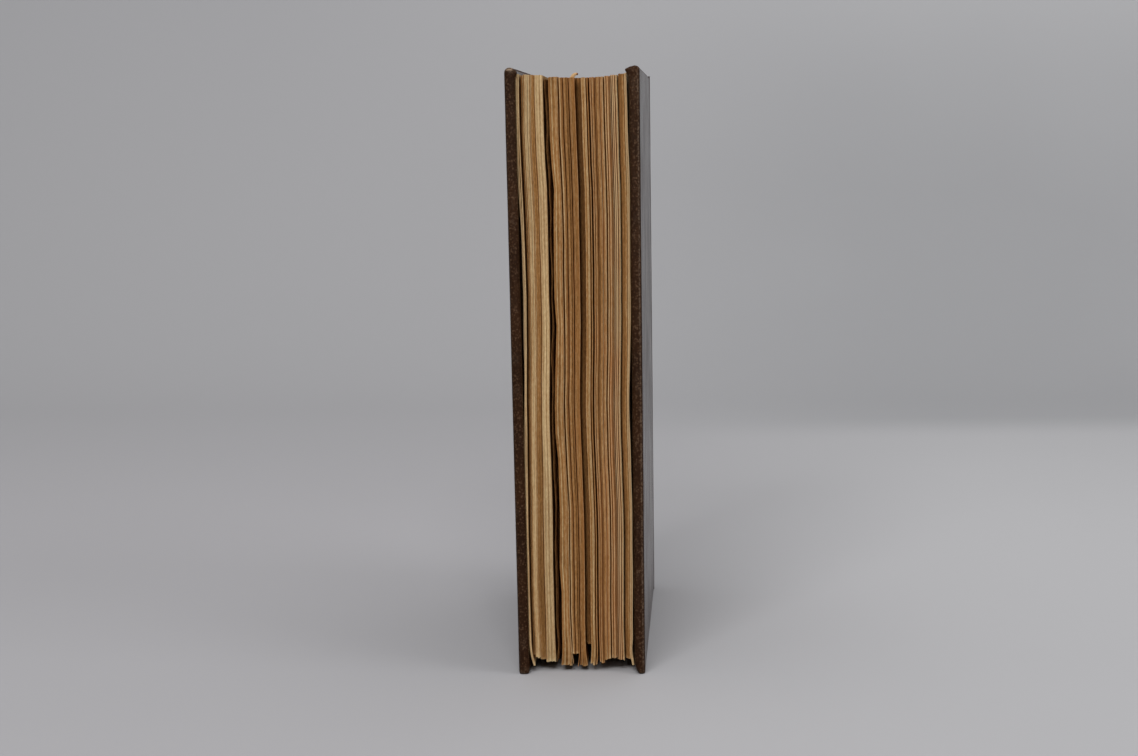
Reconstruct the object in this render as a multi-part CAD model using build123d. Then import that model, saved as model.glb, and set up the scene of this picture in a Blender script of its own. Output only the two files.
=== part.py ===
from build123d import *

import math
import os
from dataclasses import dataclass

# An antique leather-bound book that stands upright on its tail edges, in millimetres.
# +X runs from the front cover to the back cover, +Y from the fore-edge to the spine, +Z from tail to head.
# The origin is on the shelf, under the middle of the book.


@dataclass(frozen=True)
class Gathering:
    """One bundle of leaves, sewn through its fold at the spine and free at the fore-edge."""

    thickness: float
    setback: float  # how far its fore-edge lies behind the longest leaves
    tail_gap: float  # from the shelf up to its sagging fore-edge corner
    head_gap: float  # from the head of the covers down to its fore-edge corner
    gap_after: float  # to the next bundle, at the tail


# Covers: one skin of leather over two boards, turned in on three sides
cover_height = 240.0
cover_width = 162.0
board_thickness = 3.1
leather_thickness = 0.7
turn_in_thickness = 0.4
turn_in_width = 9.0
corner_round = 2.0
worn_edge_round = 1.3
worn_inner_round = 0.6
cover_splay = 0.25  # degrees that each cover leans out towards the head

edge_round = min(worn_edge_round, 2 * leather_thickness)
inner_edge_round = min(worn_inner_round, 1.5 * turn_in_thickness)

# Leather joints between the covers and the spine
joint_gap = 0.4
joint_step = 0.4

# Text block
leaf_gap = 0.2
torn_gap = 2.1
gatherings = [
    Gathering(4.6, 0.4, 5.2, 3.2, leaf_gap),
    Gathering(3.7, 0.0, 3.8, 3.6, torn_gap),
    Gathering(3.5, 0.3, 1.9, 3.9, leaf_gap),
    Gathering(3.2, 1.2, 6.3, 4.0, leaf_gap),
    Gathering(2.9, 0.8, 1.5, 4.1, leaf_gap),
    Gathering(2.4, 8.0, 9.0, 4.5, leaf_gap),
    Gathering(3.1, 0.2, 2.1, 4.1, leaf_gap),
    Gathering(2.8, 1.0, 2.9, 4.0, leaf_gap),
    Gathering(2.5, 0.6, 4.0, 3.8, leaf_gap),
    Gathering(2.6, 0.3, 4.8, 3.6, leaf_gap),
    Gathering(2.8, 0.0, 4.0, 3.2, leaf_gap),
    Gathering(2.4, 4.0, 4.2, 3.0, leaf_gap),
]
fore_edge_square = 4.5
spine_square = 4.0
sewn_depth = 12.0
leaf_root = 1.0
shoulder_side = 1.6
spine_round = 6.0

# Endpapers
flyleaf_thickness = 0.3
flyleaf_seat = 0.05
cover_clearance = 0.4

# Spine
inlay_thickness = 0.6
hollow_clearance = 0.3
lining_thickness = 0.6
glue_gap = 0.1
shoulder_clearance = 0.3
hem_height = 12.0
tape_count = 4
tape_width = 14.0
end_band_height = 2.4
end_band_depth = 2.0
end_band_round = 0.8
end_band_inset = 3.0

# Places across the thickness, at the tail
block_half = (sum(g.thickness + g.gap_after for g in gatherings) - gatherings[-1].gap_after) / 2
flyleaf_inner = block_half + flyleaf_seat
cover_inner = flyleaf_inner + flyleaf_thickness + cover_clearance
cover_thickness = leather_thickness + board_thickness + turn_in_thickness
cover_outer = cover_inner + cover_thickness
spine_half = cover_outer - joint_step
shoulder_half = spine_half - leather_thickness - shoulder_clearance

# The spine's layers are arcs about one centre, from the leaves out to the leather
block_radius = (shoulder_half**2 + spine_round**2) / (2 * spine_round)
lining_inner_radius = block_radius + glue_gap
lining_radius = lining_inner_radius + lining_thickness
hem_radius = lining_radius + hollow_clearance
inlay_radius = hem_radius + turn_in_thickness
inlay_inner_radius = inlay_radius + glue_gap
inlay_outer_radius = inlay_inner_radius + inlay_thickness
inlay_back_radius = inlay_outer_radius + glue_gap
spine_radius = inlay_back_radius + leather_thickness

# Places along the depth, with the book's middle at zero
joint_to_back = joint_gap / 2 + shoulder_side + spine_round + spine_radius - block_radius
joint_y = (cover_width - joint_to_back) / 2
cover_fore_edge = joint_y - cover_width
leaf_fore_edge = cover_fore_edge + fore_edge_square
shoulder_y = joint_y + joint_gap / 2
arc_center_y = shoulder_y + shoulder_side + spine_round - block_radius
sewn_front = joint_y - sewn_depth
head_z = cover_height - spine_square


def arc_y(radius, x):
    """Where an arc of the spine, of that radius, crosses a distance from the middle."""
    return arc_center_y + math.sqrt(radius**2 - x**2)


def spine_arc(radius, half_width):
    """An arc of the spine, from front to back cover."""
    edge_y = arc_y(radius, half_width)
    return ThreePointArc((-half_width, edge_y), (0, arc_center_y + radius), (half_width, edge_y))


def upright(outline, low, high):
    """A closed plan outline, raised from one height to another."""
    return Pos(0, 0, low) * extrude(make_face(outline), amount=high - low)


def spine_shell(inner_radius, outer_radius, half_width, low, high):
    """A curved strip of the spine between two radii and two heights."""
    inner = spine_arc(inner_radius, half_width)
    outer = spine_arc(outer_radius, half_width)
    return upright([inner, outer, Line(inner @ 0, outer @ 0), Line(inner @ 1, outer @ 1)], low, high)


def span(x, y, z):
    """A box between three pairs of limits."""
    center = Pos((x[0] + x[1]) / 2, (y[0] + y[1]) / 2, (z[0] + z[1]) / 2)
    return center * Box(x[1] - x[0], y[1] - y[0], z[1] - z[0])


def leaned(shape, foot_x, angle):
    """A shape leaned about the line along Y where it stands on the shelf."""
    return Pos(foot_x, 0, 0) * Rot(0, angle, 0) * Pos(-foot_x, 0, 0) * shape


def gathering_slab(gathering, left_x):
    """A bundle of leaves whose free corners sag, fanned out towards the nearer cover."""
    fore_edge = leaf_fore_edge + gathering.setback
    root_y = sewn_front + leaf_root
    outline = Polyline(
        (fore_edge, gathering.tail_gap),
        (root_y, spine_square),
        (root_y, head_z),
        (fore_edge, cover_height - gathering.head_gap),
        close=True,
    )
    slab = Pos(left_x, 0, 0) * extrude(Plane.YZ * make_face(outline), amount=gathering.thickness)
    middle_x = left_x + gathering.thickness / 2
    return leaned(slab, middle_x, cover_splay * middle_x / flyleaf_inner)


def sewn_back():
    """The glued back of the text block, rounded, with a shoulder for each cover."""
    shoulder_top = arc_y(block_radius, shoulder_half)
    side = Polyline(
        (-shoulder_half, shoulder_top),
        (-shoulder_half, shoulder_y),
        (-block_half, shoulder_y),
        (-block_half, sewn_front),
        (block_half, sewn_front),
        (block_half, shoulder_y),
        (shoulder_half, shoulder_y),
        (shoulder_half, shoulder_top),
    )
    return upright([side, spine_arc(block_radius, shoulder_half)], spine_square, head_z)


def text_block():
    """All the leaves, as bundles with open gaps between them, joined at the back."""
    slabs = []
    left_x = -block_half
    for gathering in gatherings:
        slabs.append(gathering_slab(gathering, left_x))
        left_x += gathering.thickness + gathering.gap_after
    return sewn_back() + slabs


def back_flyleaf():
    """The free endpaper beside the back cover."""
    leaf = span(
        (flyleaf_inner, flyleaf_inner + flyleaf_thickness),
        (leaf_fore_edge, joint_y - joint_gap),
        (spine_square, head_z),
    )
    return leaned(leaf, flyleaf_inner, cover_splay)


def board_blank():
    """The board of the back cover, before it leans, with its two free corners rounded."""
    blank = span(
        (cover_inner + turn_in_thickness, cover_outer - leather_thickness),
        (cover_fore_edge + leather_thickness, joint_y - joint_gap / 2),
        (leather_thickness, cover_height - leather_thickness),
    )
    corners = blank.edges().filter_by(Axis.X).group_by(Axis.Y)[0]
    return fillet(corners, corner_round - leather_thickness)


def pastedown_blank():
    """The endpaper pasted inside the back cover, before it leans, framed by the leather's turn-ins."""
    return span(
        (cover_inner, cover_inner + turn_in_thickness),
        (cover_fore_edge + turn_in_width, joint_y - joint_gap / 2),
        (turn_in_width, cover_height - turn_in_width),
    )


def cover_leather_blank():
    """The leather of the back cover, before it leans: wrapped round the board and turned in."""
    skin = span((cover_inner, cover_outer), (cover_fore_edge, joint_y - joint_gap / 2), (0, cover_height))
    skin = fillet(skin.edges().filter_by(Axis.X).group_by(Axis.Y)[0], corner_round)
    for face_index, radius in ((-1, edge_round), (0, inner_edge_round)):
        rim = skin.faces().sort_by(Axis.X)[face_index].edges().sort_by(Axis.Y)[:-1]
        skin = fillet(rim, radius)
    return skin - board_blank() - pastedown_blank()


def back_cover(blank):
    """A piece of the back cover, leaned out about the foot of its outer face."""
    return leaned(blank, cover_outer, cover_splay)


def front(piece):
    """The front cover's twin of a piece on the back cover's side."""
    return mirror(piece, about=Plane.YZ)


def spine_leather():
    """The leather over the spine, with a side by each joint and a hem turned in at head and tail."""
    inner_half = spine_half - leather_thickness
    outer = spine_arc(spine_radius, spine_half)
    inner = spine_arc(inlay_back_radius, inner_half)
    sides = [
        Polyline(outer @ end, (sign * spine_half, shoulder_y), (sign * inner_half, shoulder_y), inner @ end)
        for end, sign in ((0, -1), (1, 1))
    ]
    skin = upright([outer, inner, *sides], 0, cover_height)
    for low, high in ((0, hem_height), (cover_height - hem_height, cover_height)):
        skin += spine_shell(hem_radius, inlay_radius, block_half, low, high)
    for low in (0, cover_height - leather_thickness):
        skin += spine_shell(hem_radius, inlay_back_radius, block_half, low, low + leather_thickness)
    return skin


def spine_inlay():
    """The strip of card that stiffens the leather of the spine."""
    low = leather_thickness + glue_gap
    return spine_shell(inlay_inner_radius, inlay_outer_radius, block_half, low, cover_height - low)


def tape_limits():
    """The lower and upper edge of each sewing tape, evenly spaced up the spine."""
    pitch = (head_z - spine_square) / tape_count
    centers = [spine_square + pitch * (index + 0.5) for index in range(tape_count)]
    return [(center - tape_width / 2, center + tape_width / 2) for center in centers]


def lining_strip(low, high):
    """A strip across the back of the leaves, between two heights."""
    return spine_shell(lining_inner_radius, lining_radius, block_half, low, high)


def sewing_tapes():
    """The linen tapes that the gatherings are sewn to."""
    return Part() + [lining_strip(*limits) for limits in tape_limits()]


def spine_linings():
    """The paper panels glued to the back of the leaves between the tapes."""
    edges = [spine_square, *[z for limits in tape_limits() for z in limits], head_z]
    panels = zip(edges[0::2], edges[1::2])
    return Part() + [lining_strip(*limits) for limits in panels]


def head_band():
    """The worked band that sits on the head of the leaves, against the spine."""
    band = spine_shell(
        block_radius - end_band_depth,
        block_radius,
        block_half - end_band_inset,
        head_z,
        head_z + end_band_height,
    )
    crown = band.faces().sort_by(Axis.Z)[-1].edges().filter_by(GeomType.CIRCLE)
    return fillet(crown, end_band_round)


def tail_band():
    """The head band's twin under the tail of the leaves."""
    return mirror(head_band(), about=Plane.XY.offset(cover_height / 2))


pieces = {
    "text_block": text_block(),
    "front_flyleaf": front(back_flyleaf()),
    "back_flyleaf": back_flyleaf(),
    "front_board": front(back_cover(board_blank())),
    "back_board": back_cover(board_blank()),
    "front_cover_leather": front(back_cover(cover_leather_blank())),
    "back_cover_leather": back_cover(cover_leather_blank()),
    "front_pastedown": front(back_cover(pastedown_blank())),
    "back_pastedown": back_cover(pastedown_blank()),
    "spine_leather": spine_leather(),
    "spine_inlay": spine_inlay(),
    "sewing_tapes": sewing_tapes(),
    "spine_linings": spine_linings(),
    "head_band": head_band(),
    "tail_band": tail_band(),
}

os.makedirs("parts", exist_ok=True)
for name, piece in pieces.items():
    export_step(piece, f"parts/{name}.step")
print(f"joint axis foot at x {cover_outer:.3f}, y {joint_y:.3f}, leaning {cover_splay} degrees")
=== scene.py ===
"""An antique leather book that stands on its tail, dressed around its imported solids.

Lengths are in millimetres until a mesh is made; only the lamps and the backdrop are laid out in metres.
+X runs from the front cover to the back cover, +Y from the fore-edge to the spine and +Z from the tail to
the head.
"""

import logging
import math
from dataclasses import dataclass
from enum import Enum
from typing import Any, Callable, Mapping, Optional, Sequence, Union

import bpy
import numpy as np
from mathutils import Matrix, Vector, noise


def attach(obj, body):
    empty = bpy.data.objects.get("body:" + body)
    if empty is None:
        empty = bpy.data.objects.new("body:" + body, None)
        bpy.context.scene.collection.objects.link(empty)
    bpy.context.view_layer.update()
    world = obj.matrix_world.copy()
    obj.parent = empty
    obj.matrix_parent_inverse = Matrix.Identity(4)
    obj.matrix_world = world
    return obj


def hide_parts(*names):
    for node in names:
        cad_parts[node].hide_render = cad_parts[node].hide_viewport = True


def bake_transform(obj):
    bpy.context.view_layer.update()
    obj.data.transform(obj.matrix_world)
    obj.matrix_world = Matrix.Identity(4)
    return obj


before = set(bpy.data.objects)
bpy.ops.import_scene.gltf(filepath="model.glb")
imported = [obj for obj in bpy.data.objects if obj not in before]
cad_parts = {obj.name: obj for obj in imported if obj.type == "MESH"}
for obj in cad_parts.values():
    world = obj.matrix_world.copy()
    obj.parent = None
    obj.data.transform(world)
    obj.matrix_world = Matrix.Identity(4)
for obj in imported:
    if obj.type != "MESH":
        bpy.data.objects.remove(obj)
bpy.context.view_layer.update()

LOG = logging.getLogger("book")
MM = 0.001
TINY = 1e-9  # keeps a length of zero out of a division
BLOCK_BODY = "book_block"

Colour = tuple[float, float, float]
Stretch = tuple[float, float, float]
Pair = tuple[float, float]
Numbers = Union[float, np.ndarray]


class Side(Enum):
    """Which cover a piece belongs to; the value is its direction along X."""

    FRONT = -1
    BACK = 1

    @property
    def word(self) -> str:
        """The name that starts the names of the pieces on this side."""
        return self.name.lower()

    @property
    def body(self) -> str:
        """The moving body of the cover on this side."""
        return f"{self.word}_cover"


# Lines and noise


def ease(value: Numbers, low: float, high: float) -> np.ndarray:
    """A smooth step from 0 to 1.

    Args:
        value: where to read the step.
        low: where the step starts to rise.
        high: where it has risen.

    Returns:
        The step at each value.
    """
    share = np.clip((np.asarray(value, float) - low) / (high - low), 0.0, 1.0)
    return share * share * (3.0 - 2.0 * share)


def fade(value: Numbers, near: float, far: float) -> np.ndarray:
    """A smooth step down from 1 at one value to 0 at another."""
    return 1.0 - ease(value, near, far)


def bell(distance: Numbers, spread: float) -> np.ndarray:
    """A soft peak of 1 at no distance; the spread is the square of its width."""
    return np.exp(-(distance**2) / spread)


def ripple(points: np.ndarray, size: float, seed: float) -> np.ndarray:
    """Smooth seeded noise between about -1 and 1 at each point.

    Args:
        points: places in millimetres, in an array whose last axis has three numbers.
        size: how far apart the bumps lie.
        seed: moves the noise, so that pieces differ.

    Returns:
        One number for each point.
    """
    flat = np.asarray(points, float).reshape(-1, 3) / size + seed
    values = [noise.noise(Vector(point)) for point in flat]
    return np.array(values).reshape(np.asarray(points).shape[:-1])


def points_at(x: Numbers, y: Numbers, z: Numbers) -> np.ndarray:
    """Points from their three coordinates, which are spread to one shape."""
    return np.stack(np.broadcast_arrays(x, y, z), axis=-1).astype(float)


def smooth_line(z: np.ndarray, heights: np.ndarray, values: Sequence[float]) -> np.ndarray:
    """Reads a smooth line through points at known heights.

    Args:
        z: the heights to read it at.
        heights: the heights of its points, from low to high.
        values: its value at each point.

    Returns:
        The line's value at each height; it stays level past its ends.
    """
    across = np.asarray(values, float)
    slope = np.gradient(across, heights)
    place = np.clip(np.searchsorted(heights, z) - 1, 0, len(heights) - 2)
    span = heights[place + 1] - heights[place]
    past = np.clip((z - heights[place]) / span, 0.0, 1.0)
    left = 1.0 - past
    ends = across[place] * (1.0 + 2.0 * past) * left**2 + across[place + 1] * past**2 * (3.0 - 2.0 * past)
    bends = slope[place] * past * left**2 - slope[place + 1] * past**2 * left
    return ends + span * bends


# The sizes that the solids were made to


@dataclass(frozen=True)
class BookSizes:
    """The sizes of the binding that several pieces share."""

    height: float = 240.0
    cover_width: float = 162.0
    cover_thickness: float = 4.2
    splay: float = math.radians(0.25)
    cover_outer: float = 25.25
    joint_y: float = 75.65
    joint_gap: float = 0.4
    joint_step: float = 0.4
    turn_in: float = 9.0
    block_half: float = 20.3
    square: float = 4.0
    leaf_fore_edge: float = -81.85
    sewn_depth: float = 12.0
    shoulder_half: float = 23.85
    shoulder_side: float = 1.6
    spine_round: float = 6.0
    spine_layers: float = 2.9

    @property
    def fore_edge(self) -> float:
        """Where the covers end, along Y."""
        return self.joint_y - self.cover_width

    @property
    def spine_half(self) -> float:
        """Half the spine's width over its leather."""
        return self.cover_outer - self.joint_step

    @property
    def shoulder_y(self) -> float:
        """Where the shoulders of the leaves start, along Y."""
        return self.joint_y + self.joint_gap / 2

    @property
    def head(self) -> float:
        """The height of the leaves at the spine."""
        return self.height - self.square

    @property
    def sewn_front(self) -> float:
        """Where the glued back of the leaves ends, along Y."""
        return self.joint_y - self.sewn_depth

    @property
    def block_radius(self) -> float:
        """The radius of the rounded back of the leaves."""
        return (self.shoulder_half**2 + self.spine_round**2) / (2 * self.spine_round)

    @property
    def arc_center(self) -> float:
        """The Y of the centre that all the spine's arcs share."""
        return self.shoulder_y + self.shoulder_side + self.spine_round - self.block_radius

    @property
    def spine_radius(self) -> float:
        """The radius over the leather of the spine."""
        return self.block_radius + self.spine_layers

    def inner_face(self, z: np.ndarray) -> np.ndarray:
        """How far from the middle the leaned inner face of a cover is at each height."""
        return self.cover_outer - self.cover_thickness + np.asarray(z, float) * math.sin(self.splay)

    def arc_y(self, radius: float, x: Numbers) -> np.ndarray:
        """The Y of one of the spine's arcs at a distance from the middle of the book."""
        return self.arc_center + np.sqrt(radius**2 - np.asarray(x, float) ** 2)

    def on_arc(self, radius: Numbers, turn: np.ndarray) -> tuple[np.ndarray, np.ndarray]:
        """The X and the Y of one of the spine's arcs at an angle from its middle."""
        return radius * np.sin(turn), self.arc_center + radius * np.cos(turn)

    def leaned(self, local: np.ndarray, side: Side) -> np.ndarray:
        """Moves points from a cover's own upright frame to its leaned place in the book.

        Args:
            local: points whose x is the distance out from the cover's outer face.
            side: the cover.

        Returns:
            The points in the book's frame.
        """
        x, y, z = np.moveaxis(np.asarray(local, float), -1, 0)
        sine, cosine = math.sin(self.splay), math.cos(self.splay)
        across = side.value * (self.cover_outer + x * cosine + z * sine)
        return points_at(across, y, z * cosine - x * sine)


SIZES = BookSizes()


# Meshes


class Skin:
    """The points, faces and painted values of one mesh while it is put together."""

    def __init__(self) -> None:
        """Starts with nothing in it."""
        self.points: list[np.ndarray] = []
        self.faces: list[tuple[int, ...]] = []
        self.values: dict[str, list[np.ndarray]] = {}
        self.count = 0

    def add(self, points: np.ndarray, **values: Numbers) -> np.ndarray:
        """Adds points, with a painted value for each.

        Args:
            points: an array whose last axis has three numbers.
            values: one number for all the points, or an array with one for each.

        Returns:
            The index of each point, in the shape of the array.
        """
        shape = points.shape[:-1]
        flat = points.reshape(-1, 3)
        self.points.append(flat)
        for name, value in values.items():
            self.values.setdefault(name, []).append(np.broadcast_to(value, shape).ravel())
        index = np.arange(self.count, self.count + len(flat)).reshape(shape)
        self.count += len(flat)
        return index

    def quads(self, index: np.ndarray, flip: bool = False) -> None:
        """Joins a grid of point indices with four-sided faces.

        Args:
            index: a grid of indices, row by row.
            flip: turns the faces over.
        """
        corners = np.stack([index[:-1, :-1], index[1:, :-1], index[1:, 1:], index[:-1, 1:]], axis=-1)
        if flip:
            corners = corners[..., ::-1]
        self.faces.extend(map(tuple, corners.reshape(-1, 4).tolist()))

    def sheet(self, front: np.ndarray, back: np.ndarray, **values: Numbers) -> None:
        """Adds a closed sheet between two grids of the same shape.

        Args:
            front: the grid on one face.
            back: the grid on the other face.
            values: painted values, the same for both grids.
        """
        near, far = self.add(front, **values), self.add(back, **values)
        self.quads(near)
        self.quads(far, flip=True)
        rim = [(near[0], far[0]), (far[-1], near[-1]), (far[:, 0], near[:, 0]), (near[:, -1], far[:, -1])]
        for first, second in rim:
            self.quads(np.stack([first, second]))

    def leaf(self, grid: np.ndarray, thickness: float, **values: Numbers) -> None:
        """Adds a closed sheet of one thickness along X round a grid in its middle."""
        half = np.array([thickness / 2, 0.0, 0.0])
        self.sheet(grid - half, grid + half, **values)

    def tube(self, rings: np.ndarray, **values: Numbers) -> None:
        """Adds a closed tube through rings of points, with a cap on each end.

        Args:
            rings: one ring of points in each row.
            values: painted values for the points.
        """
        index = self.add(rings, **values)
        self.quads(np.concatenate([index, index[:, :1]], axis=1))
        self.faces.append(tuple(index[0].tolist()))
        self.faces.append(tuple(index[-1][::-1].tolist()))

    def piece(
        self, name: str, finish: bpy.types.Material, slot: Optional[str] = None, crease: float = 40.0
    ) -> bpy.types.Object:
        """Makes the Blender object.

        Args:
            name: the piece's name.
            finish: its material.
            slot: the record's material slot that the piece belongs to; not used.
            crease: the angle, in degrees, past which an edge is sharp.

        Returns:
            The new object, at rest in the book's frame.
        """
        mesh = bpy.data.meshes.new(name)
        mesh.from_pydata((np.concatenate(self.points) * MM).tolist(), [], self.faces)
        for value_name, parts in self.values.items():
            layer = mesh.attributes.new(value_name, "FLOAT", "POINT")
            layer.data.foreach_set("value", np.concatenate(parts).astype(np.float32))
        mesh.validate()
        mesh.shade_smooth()
        mesh.set_sharp_from_angle(angle=math.radians(crease))
        mesh.materials.append(finish)
        made = bpy.data.objects.new(name, mesh)
        bpy.context.scene.collection.objects.link(made)
        LOG.info("%s: %d points, %d faces", name, self.count, len(self.faces))
        return made


def thicken(skin: Skin, thickness: float) -> Skin:
    """Gives an open skin a second face inside it and closes its rims.

    Args:
        skin: a skin of four-sided faces that look outwards.
        thickness: how far inside the second face lies.

    Returns:
        A closed skin with the same painted values on both faces.
    """
    points = np.concatenate(skin.points)
    faces = np.array(skin.faces)
    first, second, third, fourth = (points[faces[:, corner]] for corner in range(4))
    diagonals = np.cross(third - first, fourth - second)
    normals = np.zeros_like(points)
    for corner in range(4):
        np.add.at(normals, faces[:, corner], diagonals)
    normals /= np.maximum(np.linalg.norm(normals, axis=1, keepdims=True), TINY)
    values = {name: np.concatenate(parts) for name, parts in skin.values.items()}
    shell = Skin()
    outer = shell.add(points, **values)
    inner = shell.add(points - normals * thickness, **values)
    shell.faces.extend(map(tuple, outer[faces].tolist()))
    shell.faces.extend(map(tuple, inner[faces][:, ::-1].tolist()))
    edges = np.concatenate([faces[:, [corner, (corner + 1) % 4]] for corner in range(4)])
    _, place, uses = np.unique(np.sort(edges, axis=1), axis=0, return_index=True, return_counts=True)
    for start, end in edges[place[uses == 1]]:
        shell.faces.append((int(outer[end]), int(outer[start]), int(inner[start]), int(inner[end])))
    return shell


def weld(skin: Skin, tolerance: float = 1e-4) -> Skin:
    """Joins points that lie in one place, so that neighbouring grids share their edges.

    Args:
        skin: a skin of four-sided faces.
        tolerance: the grid that places are rounded to.

    Returns:
        The same skin with each place held once.
    """
    points = np.concatenate(skin.points)
    keys = np.round(points / tolerance).astype(np.int64)
    _, first, index = np.unique(keys, axis=0, return_index=True, return_inverse=True)
    joined = Skin()
    joined.add(points[first], **{name: np.concatenate(parts)[first] for name, parts in skin.values.items()})
    faces = index.reshape(-1)[np.array(skin.faces)]
    keep = [len(set(face)) == 4 for face in faces.tolist()]
    joined.faces.extend(map(tuple, faces[keep].tolist()))
    return joined


# Finishes

Value = Union[float, "Wire"]


class Wire:
    """An output of a shader node that takes part in Python arithmetic."""

    def __init__(self, bench: "Bench", socket: bpy.types.NodeSocket) -> None:
        """Holds the socket and the material that it is in."""
        self.bench = bench
        self.socket = socket

    def out(self, name: str) -> "Wire":
        """Another output of the same node."""
        return Wire(self.bench, self.socket.node.outputs[name])

    def maths(self, operation: str, first: Value, second: Value) -> "Wire":
        """Adds a Math node.

        Args:
            operation: what the node works out.
            first: its first value.
            second: its second value.

        Returns:
            The result.
        """
        return self.bench.node("ShaderNodeMath", {"operation": operation}, {0: first, 1: second})

    def __add__(self, other: Value) -> "Wire":
        """Sum."""
        return self.maths("ADD", self, other)

    def __radd__(self, other: Value) -> "Wire":
        """Sum, with the number first."""
        return self.maths("ADD", other, self)

    def __sub__(self, other: Value) -> "Wire":
        """Difference."""
        return self.maths("SUBTRACT", self, other)

    def __rsub__(self, other: Value) -> "Wire":
        """Difference, with the number first."""
        return self.maths("SUBTRACT", other, self)

    def __mul__(self, other: Value) -> "Wire":
        """Product."""
        return self.maths("MULTIPLY", self, other)

    def __rmul__(self, other: Value) -> "Wire":
        """Product, with the number first."""
        return self.maths("MULTIPLY", other, self)

    def step(self, low: float, high: float) -> "Wire":
        """A smooth step from 0 at one value to 1 at another."""
        settings = {"interpolation_type": "SMOOTHSTEP"}
        limits = {"Value": self, "From Min": low, "From Max": high}
        return self.bench.node("ShaderNodeMapRange", settings, limits)


@dataclass(frozen=True)
class Cloud:
    """Soft noise between 0 and 1."""

    size: float  # about how many millimetres its blotches are across
    detail: float = 2.0
    stretch: Stretch = (1.0, 1.0, 1.0)
    edge: Optional[Pair] = None  # the values between which it is sharpened to a step


class Bench:
    """A material, or the room's light, whose nodes are put together one by one."""

    def __init__(self, holder: Union[bpy.types.Material, bpy.types.World]) -> None:
        """Starts with no nodes in what it is given."""
        self.holder = holder
        holder.use_nodes = True
        self.tree = holder.node_tree
        self.tree.nodes.clear()

    @classmethod
    def material(cls, name: str) -> "Bench":
        """Starts a new material."""
        return cls(bpy.data.materials.new(name))

    def node(
        self,
        kind: str,
        settings: Optional[Mapping[str, Any]] = None,
        inputs: Optional[Mapping[Union[str, int], Any]] = None,
    ) -> Wire:
        """Adds one node.

        Args:
            kind: the node's type.
            settings: its own settings, set before its sockets.
            inputs: a number, a colour or a wire for each socket, by name or by place.

        Returns:
            The node's first output that is switched on, or its first input if it ends the tree.
        """
        made = self.tree.nodes.new(kind)
        for key, value in (settings or {}).items():
            setattr(made, key, value)
        for key, value in (inputs or {}).items():
            socket = made.inputs[key]
            if isinstance(value, Wire):
                self.tree.links.new(value.socket, socket)
            else:
                socket.default_value = value
        outputs = [socket for socket in made.outputs if socket.enabled]
        return Wire(self, outputs[0]) if outputs else Wire(self, made.inputs[0])

    def place(self, stretch: Stretch = (1.0, 1.0, 1.0)) -> Wire:
        """The place on the object, in millimetres, stretched along each axis."""
        spot = self.node("ShaderNodeTexCoord").out("Object")
        scale = Vector(stretch) / MM
        return self.node("ShaderNodeVectorMath", {"operation": "MULTIPLY"}, {0: spot, 1: scale})

    def cloud(self, kind: Cloud) -> Wire:
        """The noise of a cloud, sharpened if it has an edge."""
        inputs = {"Vector": self.place(kind.stretch), "Scale": 1.0 / kind.size, "Detail": kind.detail}
        soft = self.node("ShaderNodeTexNoise", None, inputs)
        return soft.step(*kind.edge) if kind.edge else soft

    def cells(self, size: float, feature: str, **inputs: float) -> Wire:
        """How far each place is from the middle of its cell, for cells about that many millimetres across."""
        sockets = {"Vector": self.place(), "Scale": 1.0 / size, **inputs}
        return self.node("ShaderNodeTexVoronoi", {"feature": feature}, sockets)

    def painted(self, name: str) -> Wire:
        """A value that the mesh carries at each point."""
        return self.node("ShaderNodeAttribute", {"attribute_name": name}).out("Fac")

    def blend(self, first: Union[Colour, Wire], second: Union[Colour, Wire], share: Value) -> Wire:
        """Mixes two colours.

        Args:
            first: the colour at 0.
            second: the colour at 1.
            share: how much of the second.

        Returns:
            The mixed colour.
        """
        first_place, second_place = 6, 7
        settings = {"data_type": "RGBA", "clamp_factor": True}
        colours = [value if isinstance(value, Wire) else (*value, 1.0) for value in (first, second)]
        inputs = {0: share, first_place: colours[0], second_place: colours[1]}
        return self.node("ShaderNodeMix", settings, inputs)

    def bump(self, height: Wire, depth: float, strength: float) -> Wire:
        """A normal that stands up by that depth, in millimetres, where the height is 1."""
        inputs = {"Height": height, "Distance": depth * MM, "Strength": strength}
        return self.node("ShaderNodeBump", None, inputs)

    def surface(self, **inputs: Any) -> bpy.types.Material:
        """Ends the material in one Principled surface.

        Args:
            inputs: its sockets, with _ for a space in a name.

        Returns:
            The material.
        """
        named = {key.replace("_", " "): value for key, value in inputs.items()}
        shader = self.node("ShaderNodeBsdfPrincipled", None, named)
        self.node("ShaderNodeOutputMaterial", None, {"Surface": shader})
        return self.holder


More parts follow.
